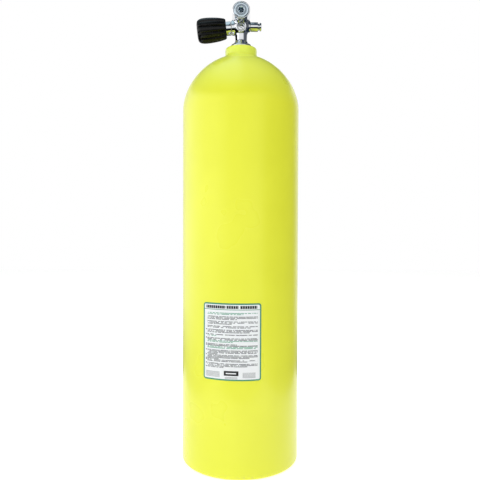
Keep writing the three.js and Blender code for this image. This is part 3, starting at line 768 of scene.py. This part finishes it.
def skin_faces(value, number):
    """One quad round each lattice edge that the surface crosses."""
    faces = []
    for axis in range(3):
        u, v = np.eye(3, dtype=int)[(axis + 1) % 3], np.eye(3, dtype=int)[(axis + 2) % 3]
        below = value < 0
        count = value.shape[axis] - 1
        near = np.take(below, np.arange(count), axis)
        far = np.take(below, np.arange(1, count + 1), axis)
        for leaving in (True, False):
            edge = np.argwhere((near == leaving) & (far != leaving))
            ring = [edge, edge - u, edge - u - v, edge - v]
            quad = np.stack([number[tuple(corner.T)] for corner in ring], axis=-1)
            faces.append(quad if leaving else quad[:, ::-1])
    return np.concatenate(faces)


def skinned(name, field, low, high, step):
    """A mesh of the surface where a field is zero, with every point settled onto that surface."""
    axes = [np.arange(a, b + step, step) for a, b in zip(low, high)]
    lattice = np.stack(np.meshgrid(*axes, indexing="ij"), axis=-1)
    value = field(lattice.reshape(-1, 3)).reshape(lattice.shape[:3])
    cell, number, within = crossed_cells(value)
    points = (cell + within) * step + np.array([axis[0] for axis in axes])
    probe = step / 20
    for _ in range(SETTLINGS):
        rise = [field(points + probe * way) - field(points - probe * way) for way in np.eye(3)]
        slope = np.stack(rise, axis=-1) / (2 * probe)
        shift = (field(points) / np.maximum((slope**2).sum(axis=1), 0.05))[:, None] * slope
        reach = np.linalg.norm(shift, axis=1, keepdims=True)
        points -= shift * np.minimum(1, step / 2.5 / np.maximum(reach, 1e-9))
    return clean_mesh(name, points * MM, skin_faces(value, number), SHARP_FIELD)


def step_for(fine):
    return fine


# ---------------------------------------------------------------- putting pieces in place


def put(mesh, body, material, node):
    """Makes a piece of a mesh, gives it its finish, and lets it ride on a body in place of a CAD node."""
    piece = bpy.data.objects.new(mesh.name, mesh)
    bpy.context.scene.collection.objects.link(piece)
    mesh.materials.append(material)
    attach(piece, body)
    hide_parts(node)


def colour_property(name, description, code):
    return FloatVectorProperty(
        name=name, description=description, default=srgb(code)[:3], subtype="COLOR", size=3, min=0, max=1
    )


def length_property(name, description, default):
    return FloatProperty(
        name=name, description=description, default=default, unit="LENGTH", min=0, precision=5
    )


class CylinderSettings(bpy.types.PropertyGroup):
    """Sizes and paint of the cylinder."""

    radius: length_property("Radius", "Outside radius of the cylinder", CYLINDER_HIGH.x)
    height: length_property("Height", "From the base to the top of the neck", CYLINDER_HIGH.z)
    wall: length_property("Wall", "Thickness of the cylinder's wall", 0.013)
    base_thickness: length_property("Base thickness", "Thickness of the flat base", 0.021)
    base_corner: length_property("Base corner", "Radius where the wall meets the base", 0.005)
    dome_start: length_property("Dome start", "Height at which the wall starts to lean in", 0.5549)
    dome_height: length_property("Dome height", "Rise of the shoulder, were it closed at the top", 0.08906)
    dome_exponent: FloatProperty(
        name="Dome fullness", description="2 is an ellipse, and more is squarer", default=1.873
    )
    neck_radius: length_property("Neck radius", "Outside radius of the neck", 0.02525)
    rim_round: length_property("Rim rounding", "Radius of the neck's top edge", 0.0035)
    # Neck start is read only as the height where the dome's painted light reaches full strength.
    neck_start: length_property("Neck start", "Height at which the neck rises from the dome", 0.63)
    paint: colour_property("Paint", "Colour of the powder coat", "EEF23A")
    paint_deep: colour_property("Deep paint", "Second tone of the coat, in broad patches", "E9ED33")
    # Painted light: the dome and neck are painted a lighter, greener yellow, standing in for the light that
    # falls on the shoulder from above.
    dome_painted_light: colour_property("Dome paint", "Colour of the coat over the dome and neck", "F1FE5C")


class LabelSettings(bpy.types.PropertyGroup):
    """Sizes and inks of the printed label."""

    width: length_property("Width", "Width of the label round the cylinder", 0.0885)
    height: length_property("Height", "Height of the label", LABEL_HIGH.z - LABEL_LOW.z)
    bottom: length_property("Bottom", "Height of its lower edge above the base", LABEL_LOW.z)
    middle: FloatProperty(
        name="Middle", description="Where its middle is round the cylinder, from the front",
        default=math.radians(-8.15), subtype="ANGLE",
    )
    thickness: length_property("Thickness", "Thickness of the film", 0.0002)
    corner: length_property("Corner", "Radius of its corners", 0.004)
    border: length_property("Border", "Width of the printed border", 0.0021)
    film: colour_property("Film", "Colour of the bare film", "EEF1F4")
    border_green: colour_property("Border green", "Ink of the border and the rule", "3F9070")


class ValveSettings(bpy.types.PropertyGroup):
    """Sizes and plating of the valve."""

    outlet_radius: length_property("Outlet radius", "Outside radius of the outlet barrel", 0.0136)
    outlet_front: length_property("Outlet front", "From the valve's axis to the outlet's face", 0.028)
    outlet_back: length_property("Outlet back", "From the valve's axis to the back of the barrel", 0.014)
    insert_radius: length_property("Insert radius", "Outside radius of the screwed insert", 0.0113)
    flange_radius: length_property("Flange radius", "Radius of the flange that seats on the neck", 0.0182)
    fillet: length_property("Fillet", "How softly the barrel flows into the column", 0.007)
    chrome: colour_property("Chrome", "Colour of the buffed plating", "F2F4F6")
    chrome_deep: colour_property("Smeared chrome", "Second tone of the buffed plating", "DADFE4")
    satin: colour_property("Satin chrome", "Colour of plating over turned faces", "E2EEF5")
    satin_deep: colour_property("Dull satin chrome", "Second tone of the satin plating", "B4C9D6")


class HandwheelSettings(bpy.types.PropertyGroup):
    """Sizes and rubber of the handwheel."""

    start: length_property("Start", "From the valve's axis to the near end of the knob", 0.024)
    length: length_property("Length", "Length of the rubber knob", 0.0464)
    ribs: IntProperty(name="Ribs", description="Number of ribs round the knob", default=12, min=3)
    groove: length_property("Groove", "Depth of the grooves between the ribs", 0.0019)
    rubber: colour_property("Rubber", "Colour of clean rubber", "050505")
    rubber_worn: colour_property("Worn rubber", "Colour of dusty or handled rubber", "101112")


class StageSettings(bpy.types.PropertyGroup):
    """Floor, light and camera."""

    floor: colour_property("Floor", "Colour of the floor paint", "FBFBFA")
    floor_size: length_property("Floor size", "Side of the square floor", 8.0)
    near_floor: length_property("Near floor", "Side of the part of the floor that shows in reflections", 0.9)
    floor_glow: FloatProperty(name="Floor glow", description="Light added to the floor", default=0.64, min=0)
    camera_distance: length_property("Camera distance", "From the cylinder's axis to the camera", 0.8687)
    camera_height: length_property("Camera height", "Height of the camera above the floor", 0.3656)
    camera_side: FloatProperty(
        name="Camera side", description="How far right of the axis the camera stands",
        default=-0.00072, unit="LENGTH", precision=5,
    )
    camera_tilt: FloatProperty(
        name="Camera tilt", description="How far the camera looks down", default=0.0187, subtype="ANGLE"
    )
    camera_roll: FloatProperty(
        name="Camera roll", description="How far the camera leans left", default=0.00326, subtype="ANGLE"
    )
    lens: FloatProperty(
        name="Lens", description="Focal length on a 36 mm sensor", default=40.43, unit="CAMERA"
    )


# ---------------------------------------------------------------- the pieces


class AddCylinder(bpy.types.Operator):
    """Builds the painted cylinder, hollow, with its domed shoulder and neck"""

    bl_idname = "scuba_tank.cylinder"
    bl_label = "Cylinder"

    def execute(self, context):
        s = context.scene.scuba_cylinder
        radius, height, neck = s.radius / MM, s.height / MM, s.neck_radius / MM
        corner, rim, floor = s.base_corner / MM, s.rim_round / MM, s.base_thickness / MM
        fillet, bore, gland, gland_depth, inner_corner = 4, 13.4, 17, 3.4, 34
        inner, inner_drop, inner_rise = radius - s.wall / MM, 9, 70
        dome = shoulder(radius, s.dome_start / MM, s.dome_height / MM, s.dome_exponent, neck + fillet, 56)
        foot = dome[-1][1]
        inner_dome = shoulder(inner, s.dome_start / MM - inner_drop, inner_rise, s.dome_exponent, bore, 24)
        profile = [
            (0, 0),
            *arc((radius - corner, corner), corner, -90, 0, 10),
            *resampled([(radius, 3 * corner), dome[0]], 30),
            *dome[1:],
            *bend(dome[-1], (neck + 0.25, foot + 1.4), (neck, foot + 5), 10)[1:],
            *arc((neck - rim, height - rim), rim, 0, 90, 10),
            (gland + 0.4, height),
            (gland, height - 0.4),
            (gland, height - gland_depth),
            (bore, height - gland_depth),
            *inner_dome[::-1],
            *arc((inner - inner_corner, floor + inner_corner), inner_corner, 0, -90, 16),
            (0, floor),
        ]
        shell = turned("cylinder_shell", profile, UPRIGHT, segments=256)
        paint = material_for(powder_coated_aluminium, s)
        put(shell, "tank", paint, "cylinder")
        return {"FINISHED"}


def rounded_rows(width, height, corner, steps):
    """Heights of the rows of a rounded rectangle, and half its width at each."""
    turn = np.radians(np.linspace(0, 90, steps + 1))
    rise = corner * (1 - np.cos(turn))
    pull = corner * (1 - np.sin(turn))
    middle = np.linspace(corner, height - corner, 40)[1:-1]
    heights = [*rise, *middle, *(height - rise[::-1])]
    halves = [*(width / 2 - pull), *([width / 2] * len(middle)), *(width / 2 - pull[::-1])]
    return heights, halves


class AddLabel(bpy.types.Operator):
    """Lays the printed label round the cylinder"""

    bl_idname = "scuba_tank.label"
    bl_label = "Label"

    def execute(self, context):
        s = context.scene.scuba_label
        width, height, thickness = s.width / MM, s.height / MM, s.thickness / MM
        adhesive = 0.06
        inside_radius = context.scene.scuba_cylinder.radius / MM + adhesive
        heights, halves = rounded_rows(width, height, s.corner / MM, 10)
        columns = np.linspace(-1, 1, 61)
        flat = np.array([(half * column, up) for up, half in zip(heights, halves) for column in columns])
        skins = []
        for radius in (inside_radius, inside_radius + thickness):
            angle = flat[:, 0] / inside_radius + s.middle - math.pi / 2
            up = flat[:, 1] + s.bottom / MM
            skins.append(np.stack([radius * np.cos(angle), radius * np.sin(angle), up], axis=-1))
        count, rows = len(columns), len(heights)
        corners = [r * count + c for r in range(rows - 1) for c in range(count - 1)]
        front = [(i, i + 1, i + count + 1, i + count) for i in corners]
        outer = [tuple(i + rows * count for i in face) for face in front]
        rim = [
            *range(count),
            *range(2 * count - 1, rows * count, count),
            *range(rows * count - 2, (rows - 1) * count - 1, -1),
            *range((rows - 2) * count, 0, -count),
        ]
        sides = [(a, b, b + rows * count, a + rows * count) for a, b in zip(rim, rim[1:] + rim[:1])]
        faces = [*(face[::-1] for face in front), *outer, *sides]
        mesh = clean_mesh("printed_label", np.concatenate(skins) * MM, faces)
        layer = mesh.uv_layers.new(name="print")
        for loop in mesh.loops:
            x, y, z = mesh.vertices[loop.vertex_index].co
            along = (math.atan2(y, x) + math.pi / 2 - s.middle) * inside_radius + width / 2
            layer.data[loop.index].uv = (along, height - (z - s.bottom) / MM)
        vinyl = material_for(screen_printed_vinyl, s)
        put(mesh, "tank", vinyl, "info_label")
        return {"FINISHED"}


class AddValveBody(bpy.types.Operator):
    """Builds the forged valve body with its ports, and the threads of its inlet and outlet"""

    bl_idname = "scuba_tank.valve_body"
    bl_label = "Valve body"

    def execute(self, context):
        s = context.scene.scuba_valve
        chrome = material_for(polished_chrome_plate, s)
        seat = NECK_TOP + 0.3
        front, back, barrel = s.outlet_front / MM, s.outlet_back / MM, s.outlet_radius / MM
        flange, fillet = s.flange_radius / MM, s.fillet / MM
        outline = [
            (0, 16.8), (3, 16.8), (4.8, 15.9), (6.4, 13.6), (8, 11.7), (10, 10.5),
            (13.4, 9.8), (30, 10.4), (52, 11.3),
        ]
        column = flowing([(seat + up, radius) for up, radius in outline])

        body = joined(rod(UPRIGHT, column, seat, 712), rod(UPRIGHT, flange, seat, seat + 2.7, 0.6), 0.8)
        bevelled = [(-back, barrel), (front - 0.7, barrel), (front - 0.35, barrel - 0.3), (front, 11.6)]
        body = joined(body, rod(OUTLET_PORT, bevelled, -back, front, 0.3), fillet)
        stem_side = [(-3, 12.2), (8, 12.2), (10.4, 11.2), (16, 11.2)]
        burst_side = [(0, 9.2), (9.5, 9.2), (13, 7.9), (15, 7.6)]
        body = joined(body, rod(STEM_PORT, stem_side, -3, 15.5, 0.8), 4)
        body = joined(body, rod(BURST_PORT, burst_side, 0, 14.5, 0.6), 5)
        body = joined(body, rod(PLUG_PORT, 8.4, 0, 12.2, 0.8), 2.5)
        for place, radius, start, end, edge, ease in (
            (OUTLET_PORT, 12.3, 14.4, 32, 0.1, 0.9),
            (OUTLET_PORT, 8.2, 11, 15, 0.1, 0.4),
            (OUTLET_PORT, 2.4, -1, 12, 0.1, 0.4),
            (OUTLET_PORT, [(-15, 7.0), (-14, 6.4), (-11, 3.6)], -16, -11, 0.2, 0.8),
            (STEM_PORT, 6.3, 2.5, 20, 0.1, 0.4),
            (STEM_PORT, 8.7, 11, 20, 0.1, 0.6),
            (STEM_PORT, 1.8, -3, 4, 0.1, 0.4),
            (UPRIGHT, 1.8, 688, 706, 0.1, 0.4),
            (BURST_PORT, 4.7, 8.2, 18, 0.1, 0.6),
            (PLUG_PORT, 6.2, 7.4, 18, 0.1, 0.8),
            (UPRIGHT, 3.4, 600, 670, 0.1, 0.4),
        ):
            body = cut(body, rod(place, radius, start, end, edge), ease)
        low, high = (-20, -front - 1, seat - 1), (20, 20, 722)
        mesh = skinned("forged_valve_body", body, low, high, step_for(FIELD_STEP))
        put(mesh, "tank", chrome, "valve_body")

        crest, root, length = 13.1, 12.2, 24
        inlet = [
            (3.4, -length), (crest - 1.6, -length), (crest, -length + 1.6), (crest, -4.6),
            (root, -3.6), (root, 0.6), (3.4, 0.6), (3.4, -length),
        ]
        inlet = [(radius, NECK_TOP + up) for radius, up in inlet]
        spiral = threaded(crest, NECK_TOP - length, NECK_TOP - 4.6, NECK_PITCH, NECK_THREAD)
        mesh = turned("inlet_thread", resampled(soften(inlet, 0.2), 0.25), UPRIGHT, shape=spiral)
        put(mesh, "tank", chrome, "valve_body")

        crest, start, end = 11.6, 14.6, front - 0.5
        sleeve = [
            (crest, start), (12.4, start), (12.4, end),
            (crest + 0.5, end), (crest, end - 0.5), (crest, start),
        ]
        spiral = threaded(crest, start, end - 0.5, NECK_PITCH, -NECK_THREAD)
        mesh = turned("outlet_thread", resampled(sleeve, 0.25), OUTLET_PORT, shape=spiral)
        put(mesh, "tank", chrome, "valve_body")
        return {"FINISHED"}


class AddOutletInsert(bpy.types.Operator):
    """Builds the screwed outlet insert, with its hex socket and seal groove"""

    bl_idname = "scuba_tank.outlet_insert"
    bl_label = "Outlet insert"

    def execute(self, context):
        s = context.scene.scuba_valve
        satin = material_for(satin_chrome_plate, s)
        front, crest = s.outlet_front / MM, s.insert_radius / MM
        back, nose, passage, flat, mouth = front - 13, 6, 2.6, 4, 4.75
        profile = [
            (passage, back - 2.7),
            (nose, back - 2.7),
            (nose, back),
            (crest - 0.4, back),
            (crest, back + 0.6),
            (crest, front - 0.6),
            (crest - 0.6, front),
            (8.25, front),
            (8.25, front - 1.35),
            (nose, front - 1.35),
            (nose, front),
            (mouth, front),
            (flat, front - 0.8),
            (flat, front - 9),
            (passage, front - 9.8),
            (passage, back - 2.7),
        ]
        spiral = threaded(crest, back + 0.6, front - 0.6, NECK_PITCH, NECK_THREAD)

        def shape(radius, height, angle):
            hexed = np.where(np.abs(radius - flat) < 0.02, radius * over_flats(6, angle), radius)
            return spiral(hexed, height, angle)

        profile = resampled(soften(profile, 0.22), 0.25)
        mesh = turned("screwed_outlet_insert", profile, OUTLET_PORT, 144, shape)
        put(mesh, "insert", satin, "outlet_insert")
        return {"FINISHED"}


class AddStem(bpy.types.Operator):
    """Builds the bonnet nut, the valve stem, its washers, and the seat that it lifts"""

    bl_idname = "scuba_tank.stem"
    bl_label = "Bonnet and stem"

    def execute(self, context):
        s = context.scene.scuba_valve
        chrome = material_for(polished_chrome_plate, s)
        steel, brass = material_for(turned_stainless_steel, s), material_for(turned_brass, s)
        nylon = material_for(machined_white_nylon, s)
        bonnet = [
            (6.2, 11.3), (8.4, 11.3), (8.4, 16.2), (10.75, 16.2), (10.75, 26.8), (9.6, 28), (3.3, 28),
            (3.3, 24), (5, 24), (5, 21), (3.3, 21), (3.3, 18.1), (6.2, 18.1), (6.2, 11.3),
        ]
        mesh = turned("turned_bonnet", soften(bonnet, 0.5), STEM_PORT, 128)
        put(mesh, "tank", chrome, "bonnet_nut")
        mesh = ring("bonnet_washer_ring", 8.7, 9.8, 15.62, 16.08, 0.15, STEM_PORT)
        put(mesh, "tank", nylon, "bonnet_washer")
        mesh = ring("thrust_washer_ring", 3.3, 5.7, 17.0, 17.8, 0.15, STEM_PORT)
        put(mesh, "handwheel", nylon, "thrust_washer")

        square, thread, half_tang = 2.9, 2.4, 0.9
        spindle = [
            (0, 9.7), (3, 9.7), (3, 15.8), (5.6, 15.8), (5.6, 16.7), (3.01, 16.7), (3.01, 28.6),
            (square, 28.6), (square, 44), (thread, 44), (thread, 58.5), (thread - 0.5, 59), (0, 59),
        ]
        spiral = threaded(thread, 44.4, 59, STEM_PITCH, STEM_THREAD)

        def shape(radius, height, angle):
            flats = np.minimum(square * over_flats(4, angle), 3.7)
            squared = np.where((height > 28.6) & (height < 44.01) & (radius > thread + 0.01), flats, radius)
            blade = np.minimum(radius, half_tang / np.maximum(np.abs(np.sin(angle)), 1e-3))
            return spiral(np.where(height < 15.7, blade, squared), height, angle)

        mesh = turned("turned_stem", resampled(soften(spindle, 0.12, 2), 0.16), STEM_PORT, 96, shape)
        put(mesh, "handwheel", steel, "stem")

        carrier = cut(rod(STEM_PORT, 5.95, 3.4, 12.4, 0.5), rod(STEM_PORT, 3.9, 2, 5.3, 0.1), 0.2)

        def slot_field(points):
            local, _ = in_port(points, STEM_PORT)
            sides = [np.abs(local[:, 0]) - 3.3, np.abs(local[:, 1]) - 1.2, np.abs(local[:, 2] - 10) - 3.6]
            return np.max(sides, axis=0)

        low, high = (-14, -7, 681), (-2, 7, 697)
        mesh = skinned("brass_seat_carrier", cut(carrier, slot_field, 0.2), low, high, step_for(FIELD_STEP))
        put(mesh, "seat", brass, "seat_carrier")
        disc = [(0, 2.8), (3.6, 2.8), (3.6, 5), (0, 5)]
        put(turned("nylon_seat", soften(disc, 0.3), STEM_PORT), "seat", nylon, "seat_insert")
        return {"FINISHED"}


class AddHandwheel(bpy.types.Operator):
    """Builds the ribbed rubber knob, its core, spring, washer and nut"""

    bl_idname = "scuba_tank.handwheel"
    bl_label = "Handwheel"

    def execute(self, context):
        s = context.scene.scuba_handwheel
        start, end = s.start / MM, (s.start + s.length) / MM
        inner, hole, hole_start, groove = 12, 8.5, 62, s.groove / MM
        first_rib = math.radians(13)  # below the front, at rest
        crown = flowing([
            (13.8, start), (15.3, start + 1.2), (16.2, start + 3.6), (17.9, start + 12), (19, start + 22),
            (19.4, start + 31), (19, start + 38), (17.7, start + 42.5), (15.2, start + 45.4), (11.9, end),
        ])
        profile = [
            (inner, start), *crown, *bend((hole + 0.8, end), (hole, end), (hole, end - 0.8), 5),
            (hole, hole_start), (inner, hole_start), (inner, start),
        ]

        def shape(radius, height, angle):
            turn = (s.ribs * (angle + first_rib) / (2 * math.pi)) % 1
            valley = np.exp(-(((turn - 0.5) / 0.15) ** 2))
            along = [start, start + 1, start + 4, end - 9, end - 3, end]
            depth = np.interp(height, along, [0.5, 0.8, 1, 1, 0.55, 0])
            return radius - np.where(radius > inner + 0.2, groove * depth * valley, 0)

        rubber = material_for(moulded_grip_rubber, s)
        grip = turned("ribbed_rubber_grip", resampled(profile, 0.8), STEM_PORT, 16 * s.ribs, shape)
        put(grip, "handwheel", rubber, "knob_grip")

        core = [(3.25, 29), (11.7, 29), (11.7, 61.6), (8, 61.6), (8, 40), (3.25, 40), (3.25, 29)]

        def square_bored(radius, height, angle):
            squared = np.minimum(radius * over_flats(4, angle), 4.2)
            return np.where(np.abs(radius - 3.25) < 0.01, squared, radius)

        nylon = material_for(moulded_black_nylon, s)
        mesh = turned("moulded_knob_core", resampled(core, 2), STEM_PORT, 96, square_bored)
        put(mesh, "handwheel", nylon, "knob_core")

        steel = material_for(turned_stainless_steel, s)
        spring = coil("wound_spring", 5.4, 0.65, 41.2, 51.4, 5, STEM_PORT)
        put(spring, "handwheel", steel, "knob_spring")
        washer = ring("plain_washer", 2.8, 7.2, 52.4, 53.4, 0.25, STEM_PORT)
        put(washer, "handwheel", steel, "knob_washer")

        flat, low, high, bore = 5, 53.7, 58, 2.75
        nut = [(bore, low), (flat, low), (flat, high), (bore + 0.4, high), (bore, high - 0.4), (bore, low)]

        def hexed(radius, height, angle):
            chamfer = np.interp(height, [low, low + 0.5, high - 0.5, high], [5.1, 5.9, 5.9, 5.1])
            outside = np.minimum(radius * over_flats(6, angle), chamfer)
            return np.where(radius > bore + 0.6, outside, radius)

        mesh = turned("hex_nut", resampled(nut, 0.25), STEM_PORT, 96, hexed)
        put(mesh, "handwheel", steel, "knob_nut")
        return {"FINISHED"}


class AddPlugs(bpy.types.Operator):
    """Builds the burst disc plug with its disc and gasket, and the front plug with its grip bar"""

    bl_idname = "scuba_tank.plugs"
    bl_label = "Plugs"

    def execute(self, context):
        s = context.scene.scuba_valve
        chrome = material_for(polished_chrome_plate, s)
        step = step_for(FINE_STEP)
        outline = [
            (9, 4.4), (14.75, 4.4), (14.8, 7.2), (26.6, 7.2),
            (27.2, 5.2), (29.3, 5.2), (29.8, 6.3), (33, 6.3),
        ]
        plug, vents = rod(BURST_PORT, outline, 10, 32.2, 0.6), 28.2
        plug = cut(plug, rod(BURST_PORT, 1.5, 8, vents, 0.1), 0.3)
        plug = cut(plug, rod(BURST_PORT, 2.6, 31.2, 34, 0.1), 0.5)
        middle = BURST_PORT @ Vector((0, 0, vents))
        for way in ((0, 1, 1), (0, 1, -1)):
            plug = cut(plug, rod(port(middle, way), 0.9, -9, 9, 0.1), 0.3)
        z = middle.z / MM
        mesh = skinned("vented_burst_plug", plug, (9, -8.5, z - 8.5), (33, 8.5, z + 8.5), step)
        put(mesh, "tank", chrome, "burst_plug")

        head = rod(PLUG_PORT, 5.9, 8.9, 11.7, 0.35)
        pocket = cut(rod(PLUG_PORT, 4.9, 9.5, 14, 0.1), bar(PLUG_PORT, 1.3, -32), 0.2)
        z = PLUG_PORT.translation.z / MM
        mesh = skinned("two_pocket_plug", cut(head, pocket, 0.35), (-7, -13, z - 7), (7, -8, z + 7), step)
        put(mesh, "tank", chrome, "front_plug")

        copper, nylon = material_for(rolled_copper, s), material_for(machined_white_nylon, s)
        foil = flowing([(0, 9.45), (2, 9.42), (3.2, 9.37), (4.4, 9.35)], 4)
        foil = [*foil, (4.4, 9.5), (3.2, 9.52), (2, 9.62), (0, 9.68)]
        put(turned("copper_burst_disc", foil, BURST_PORT), "tank", copper, "burst_disc")
        gasket = ring("burst_gasket_ring", 2.6, 4.4, 8.5, 9.1, 0.12, BURST_PORT)
        put(gasket, "tank", nylon, "burst_gasket")
        return {"FINISHED"}


class AddSeals(bpy.types.Operator):
    """Builds the O-rings and the dip tube"""

    bl_idname = "scuba_tank.seals"
    bl_label = "Seals and dip tube"

    def execute(self, context):
        s = context.scene.scuba_valve
        rubber, polyurethane = material_for(moulded_seal_rubber, s), material_for(cast_polyurethane, s)
        for node, place, body, stuff in (
            ("neck_oring", UPRIGHT, "tank", rubber),
            ("stem_oring", STEM_PORT, "tank", rubber),
            ("front_plug_oring", PLUG_PORT, "tank", rubber),
            ("insert_face_oring", OUTLET_PORT, "insert", polyurethane),
            ("insert_rear_oring", OUTLET_PORT, "insert_carriage", rubber),
        ):
            put(o_ring(node, place), body, stuff, node)
        low, high = (corner.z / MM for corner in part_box("dip_tube"))
        tube = [(2.9, low + 1.2), (2.9, low), (4, low + 2.4), (4, high), (2.9, high), (2.9, low + 1.2)]
        mesh = turned("brass_dip_tube", resampled(soften(tube, 0.2), 6), UPRIGHT, 64)
        put(mesh, "tank", material_for(turned_brass, s), "dip_tube")
        return {"FINISHED"}


class SetStage(bpy.types.Operator):
    """Lays the floor and sets the studio lights and the camera"""

    bl_idname = "scuba_tank.stage"
    bl_label = "Stage"

    def execute(self, context):
        s = context.scene.scuba_stage
        self.lay_floor(s)
        self.light(context.scene)
        self.set_camera(context.scene, s)
        return {"FINISHED"}

    def lay_floor(self, s):
        paint = rolled_floor_paint(s)
        for name, size, drop, mirrored in (
            ("studio_floor", s.floor_size, 0.2, False),
            ("studio_floor_near", s.near_floor, 0.15, True),
        ):
            half, height = size / 2, -drop * MM
            corners = [(-half, -half), (half, -half), (half, half), (-half, half)]
            mesh = bpy.data.meshes.new(name)
            mesh.from_pydata([(x, y, height) for x, y in corners], [], [(0, 1, 2, 3)])
            mesh.materials.append(paint)
            floor = bpy.data.objects.new(name, mesh)
            floor.visible_glossy = mirrored
            bpy.context.scene.collection.objects.link(floor)

    def light(self, scene):
        for name, place, aim, size, power in SOFTBOXES:
            lamp = bpy.data.lights.new(name, "AREA")
            lamp.shape, lamp.size, lamp.energy = "SQUARE", size, power
            holder = bpy.data.objects.new(name, lamp)
            holder.location = place
            holder.rotation_euler = (Vector(aim) - Vector(place)).to_track_quat("-Z", "Y").to_euler()
            holder.visible_glossy = False
            scene.collection.objects.link(holder)

        world = bpy.data.worlds.new("studio")
        world.use_nodes = True
        tree = world.node_tree
        way = add(tree, "TexCoord", out="Generated")
        up = add(tree, "SeparateXYZ", {"Vector": way}, out="Z")
        right = add(tree, "SeparateXYZ", {"Vector": way}, out="X")
        share = add(tree, "MapRange", {"Value": up, "From Min": -1, "From Max": 1})
        mirrored = add(tree, "ValToRGB", {"Fac": share})
        ramp = mirrored.node.color_ramp
        ramp.elements[0].position, ramp.elements[0].color = 0, srgb(STRAIGHT_DOWN)
        ramp.elements[1].position, ramp.elements[1].color = 1, srgb(STRAIGHT_UP)
        for position, code in STUDIO_BANDS:
            ramp.elements.new(position).color = srgb(code)
        far_right, high_up, past_middle = (
            add(tree, "MapRange", {"Value": value, "From Min": low, "From Max": high})
            for value, (low, high) in ((right, FAR_RIGHT), (up, HIGH_UP), (right, RIGHT_OF_MIDDLE))
        )
        canopy = add(tree, "Math", [high_up, past_middle], operation="MULTIPLY")
        dark = add(tree, "Math", [far_right, canopy], operation="MAXIMUM")
        dark = add(tree, "Math", [dark, DARK_SHARE], operation="MULTIPLY")
        mirrored = add(tree, "Mix", [dark, mirrored, DARK_TONE], data_type="RGBA")
        low, high = FAR_LEFT
        glow = {"Value": right, "From Min": low, "From Max": high, "To Min": 1, "To Max": LEFT_GAIN}
        glow = add(tree, "MapRange", glow)
        mirrored = add(tree, "VectorMath", {"Vector": mirrored, "Scale": glow}, operation="SCALE")
        rays = add(tree, "LightPath").node
        lit = add(tree, "Mix", [rays.outputs["Is Glossy Ray"], ROOM_LIGHT, mirrored], data_type="RGBA")
        seen = add(tree, "Mix", [rays.outputs["Is Camera Ray"], lit, BACKDROP], data_type="RGBA")
        tree.links.new(seen, tree.nodes["Background"].inputs["Color"])
        scene.world = world
        scene.view_settings.view_transform = "Standard"

    def set_camera(self, scene, s):
        lens = bpy.data.cameras.new("studio_camera")
        lens.lens, lens.sensor_width, lens.clip_start = s.lens, 36, 0.01
        camera = bpy.data.objects.new("studio_camera", lens)
        look = Matrix.Rotation(math.pi / 2 - s.camera_tilt, 4, "X") @ Matrix.Rotation(s.camera_roll, 4, "Z")
        camera.matrix_world = Matrix.Translation((s.camera_side, -s.camera_distance, s.camera_height)) @ look
        scene.collection.objects.link(camera)
        scene.camera = camera


class ScubaTankPanel(bpy.types.Panel):
    """Lists the tank's sizes and pieces"""

    bl_idname = "VIEW3D_PT_scuba_tank"
    bl_label = "Scuba Tank"
    bl_space_type = "VIEW_3D"
    bl_region_type = "UI"
    bl_category = "Scuba Tank"

    def draw(self, context):
        for name, group in SETTINGS.items():
            box = self.layout.box()
            box.label(text=name.replace("scuba_", "").capitalize())
            settings = getattr(context.scene, name)
            for key in group.__annotations__:
                box.prop(settings, key)
        for operator in OPERATORS:
            self.layout.operator(operator.bl_idname)


SETTINGS = {
    "scuba_cylinder": CylinderSettings,
    "scuba_label": LabelSettings,
    "scuba_valve": ValveSettings,
    "scuba_handwheel": HandwheelSettings,
    "scuba_stage": StageSettings,
}
OPERATORS = [
    SetStage, AddCylinder, AddLabel, AddValveBody, AddOutletInsert, AddStem, AddHandwheel, AddPlugs, AddSeals,
]


def register():
    for item in (*SETTINGS.values(), *OPERATORS, ScubaTankPanel):
        bpy.utils.register_class(item)
    for name, group in SETTINGS.items():
        setattr(bpy.types.Scene, name, PointerProperty(type=group))


def unregister():
    for name in SETTINGS:
        delattr(bpy.types.Scene, name)
    for item in (*SETTINGS.values(), *OPERATORS, ScubaTankPanel):
        bpy.utils.unregister_class(item)


def main():
    register()
    for operator in OPERATORS:
        group, name = operator.bl_idname.split(".")
        getattr(getattr(bpy.ops, group), name)()


if __name__ == "__main__":
    main()
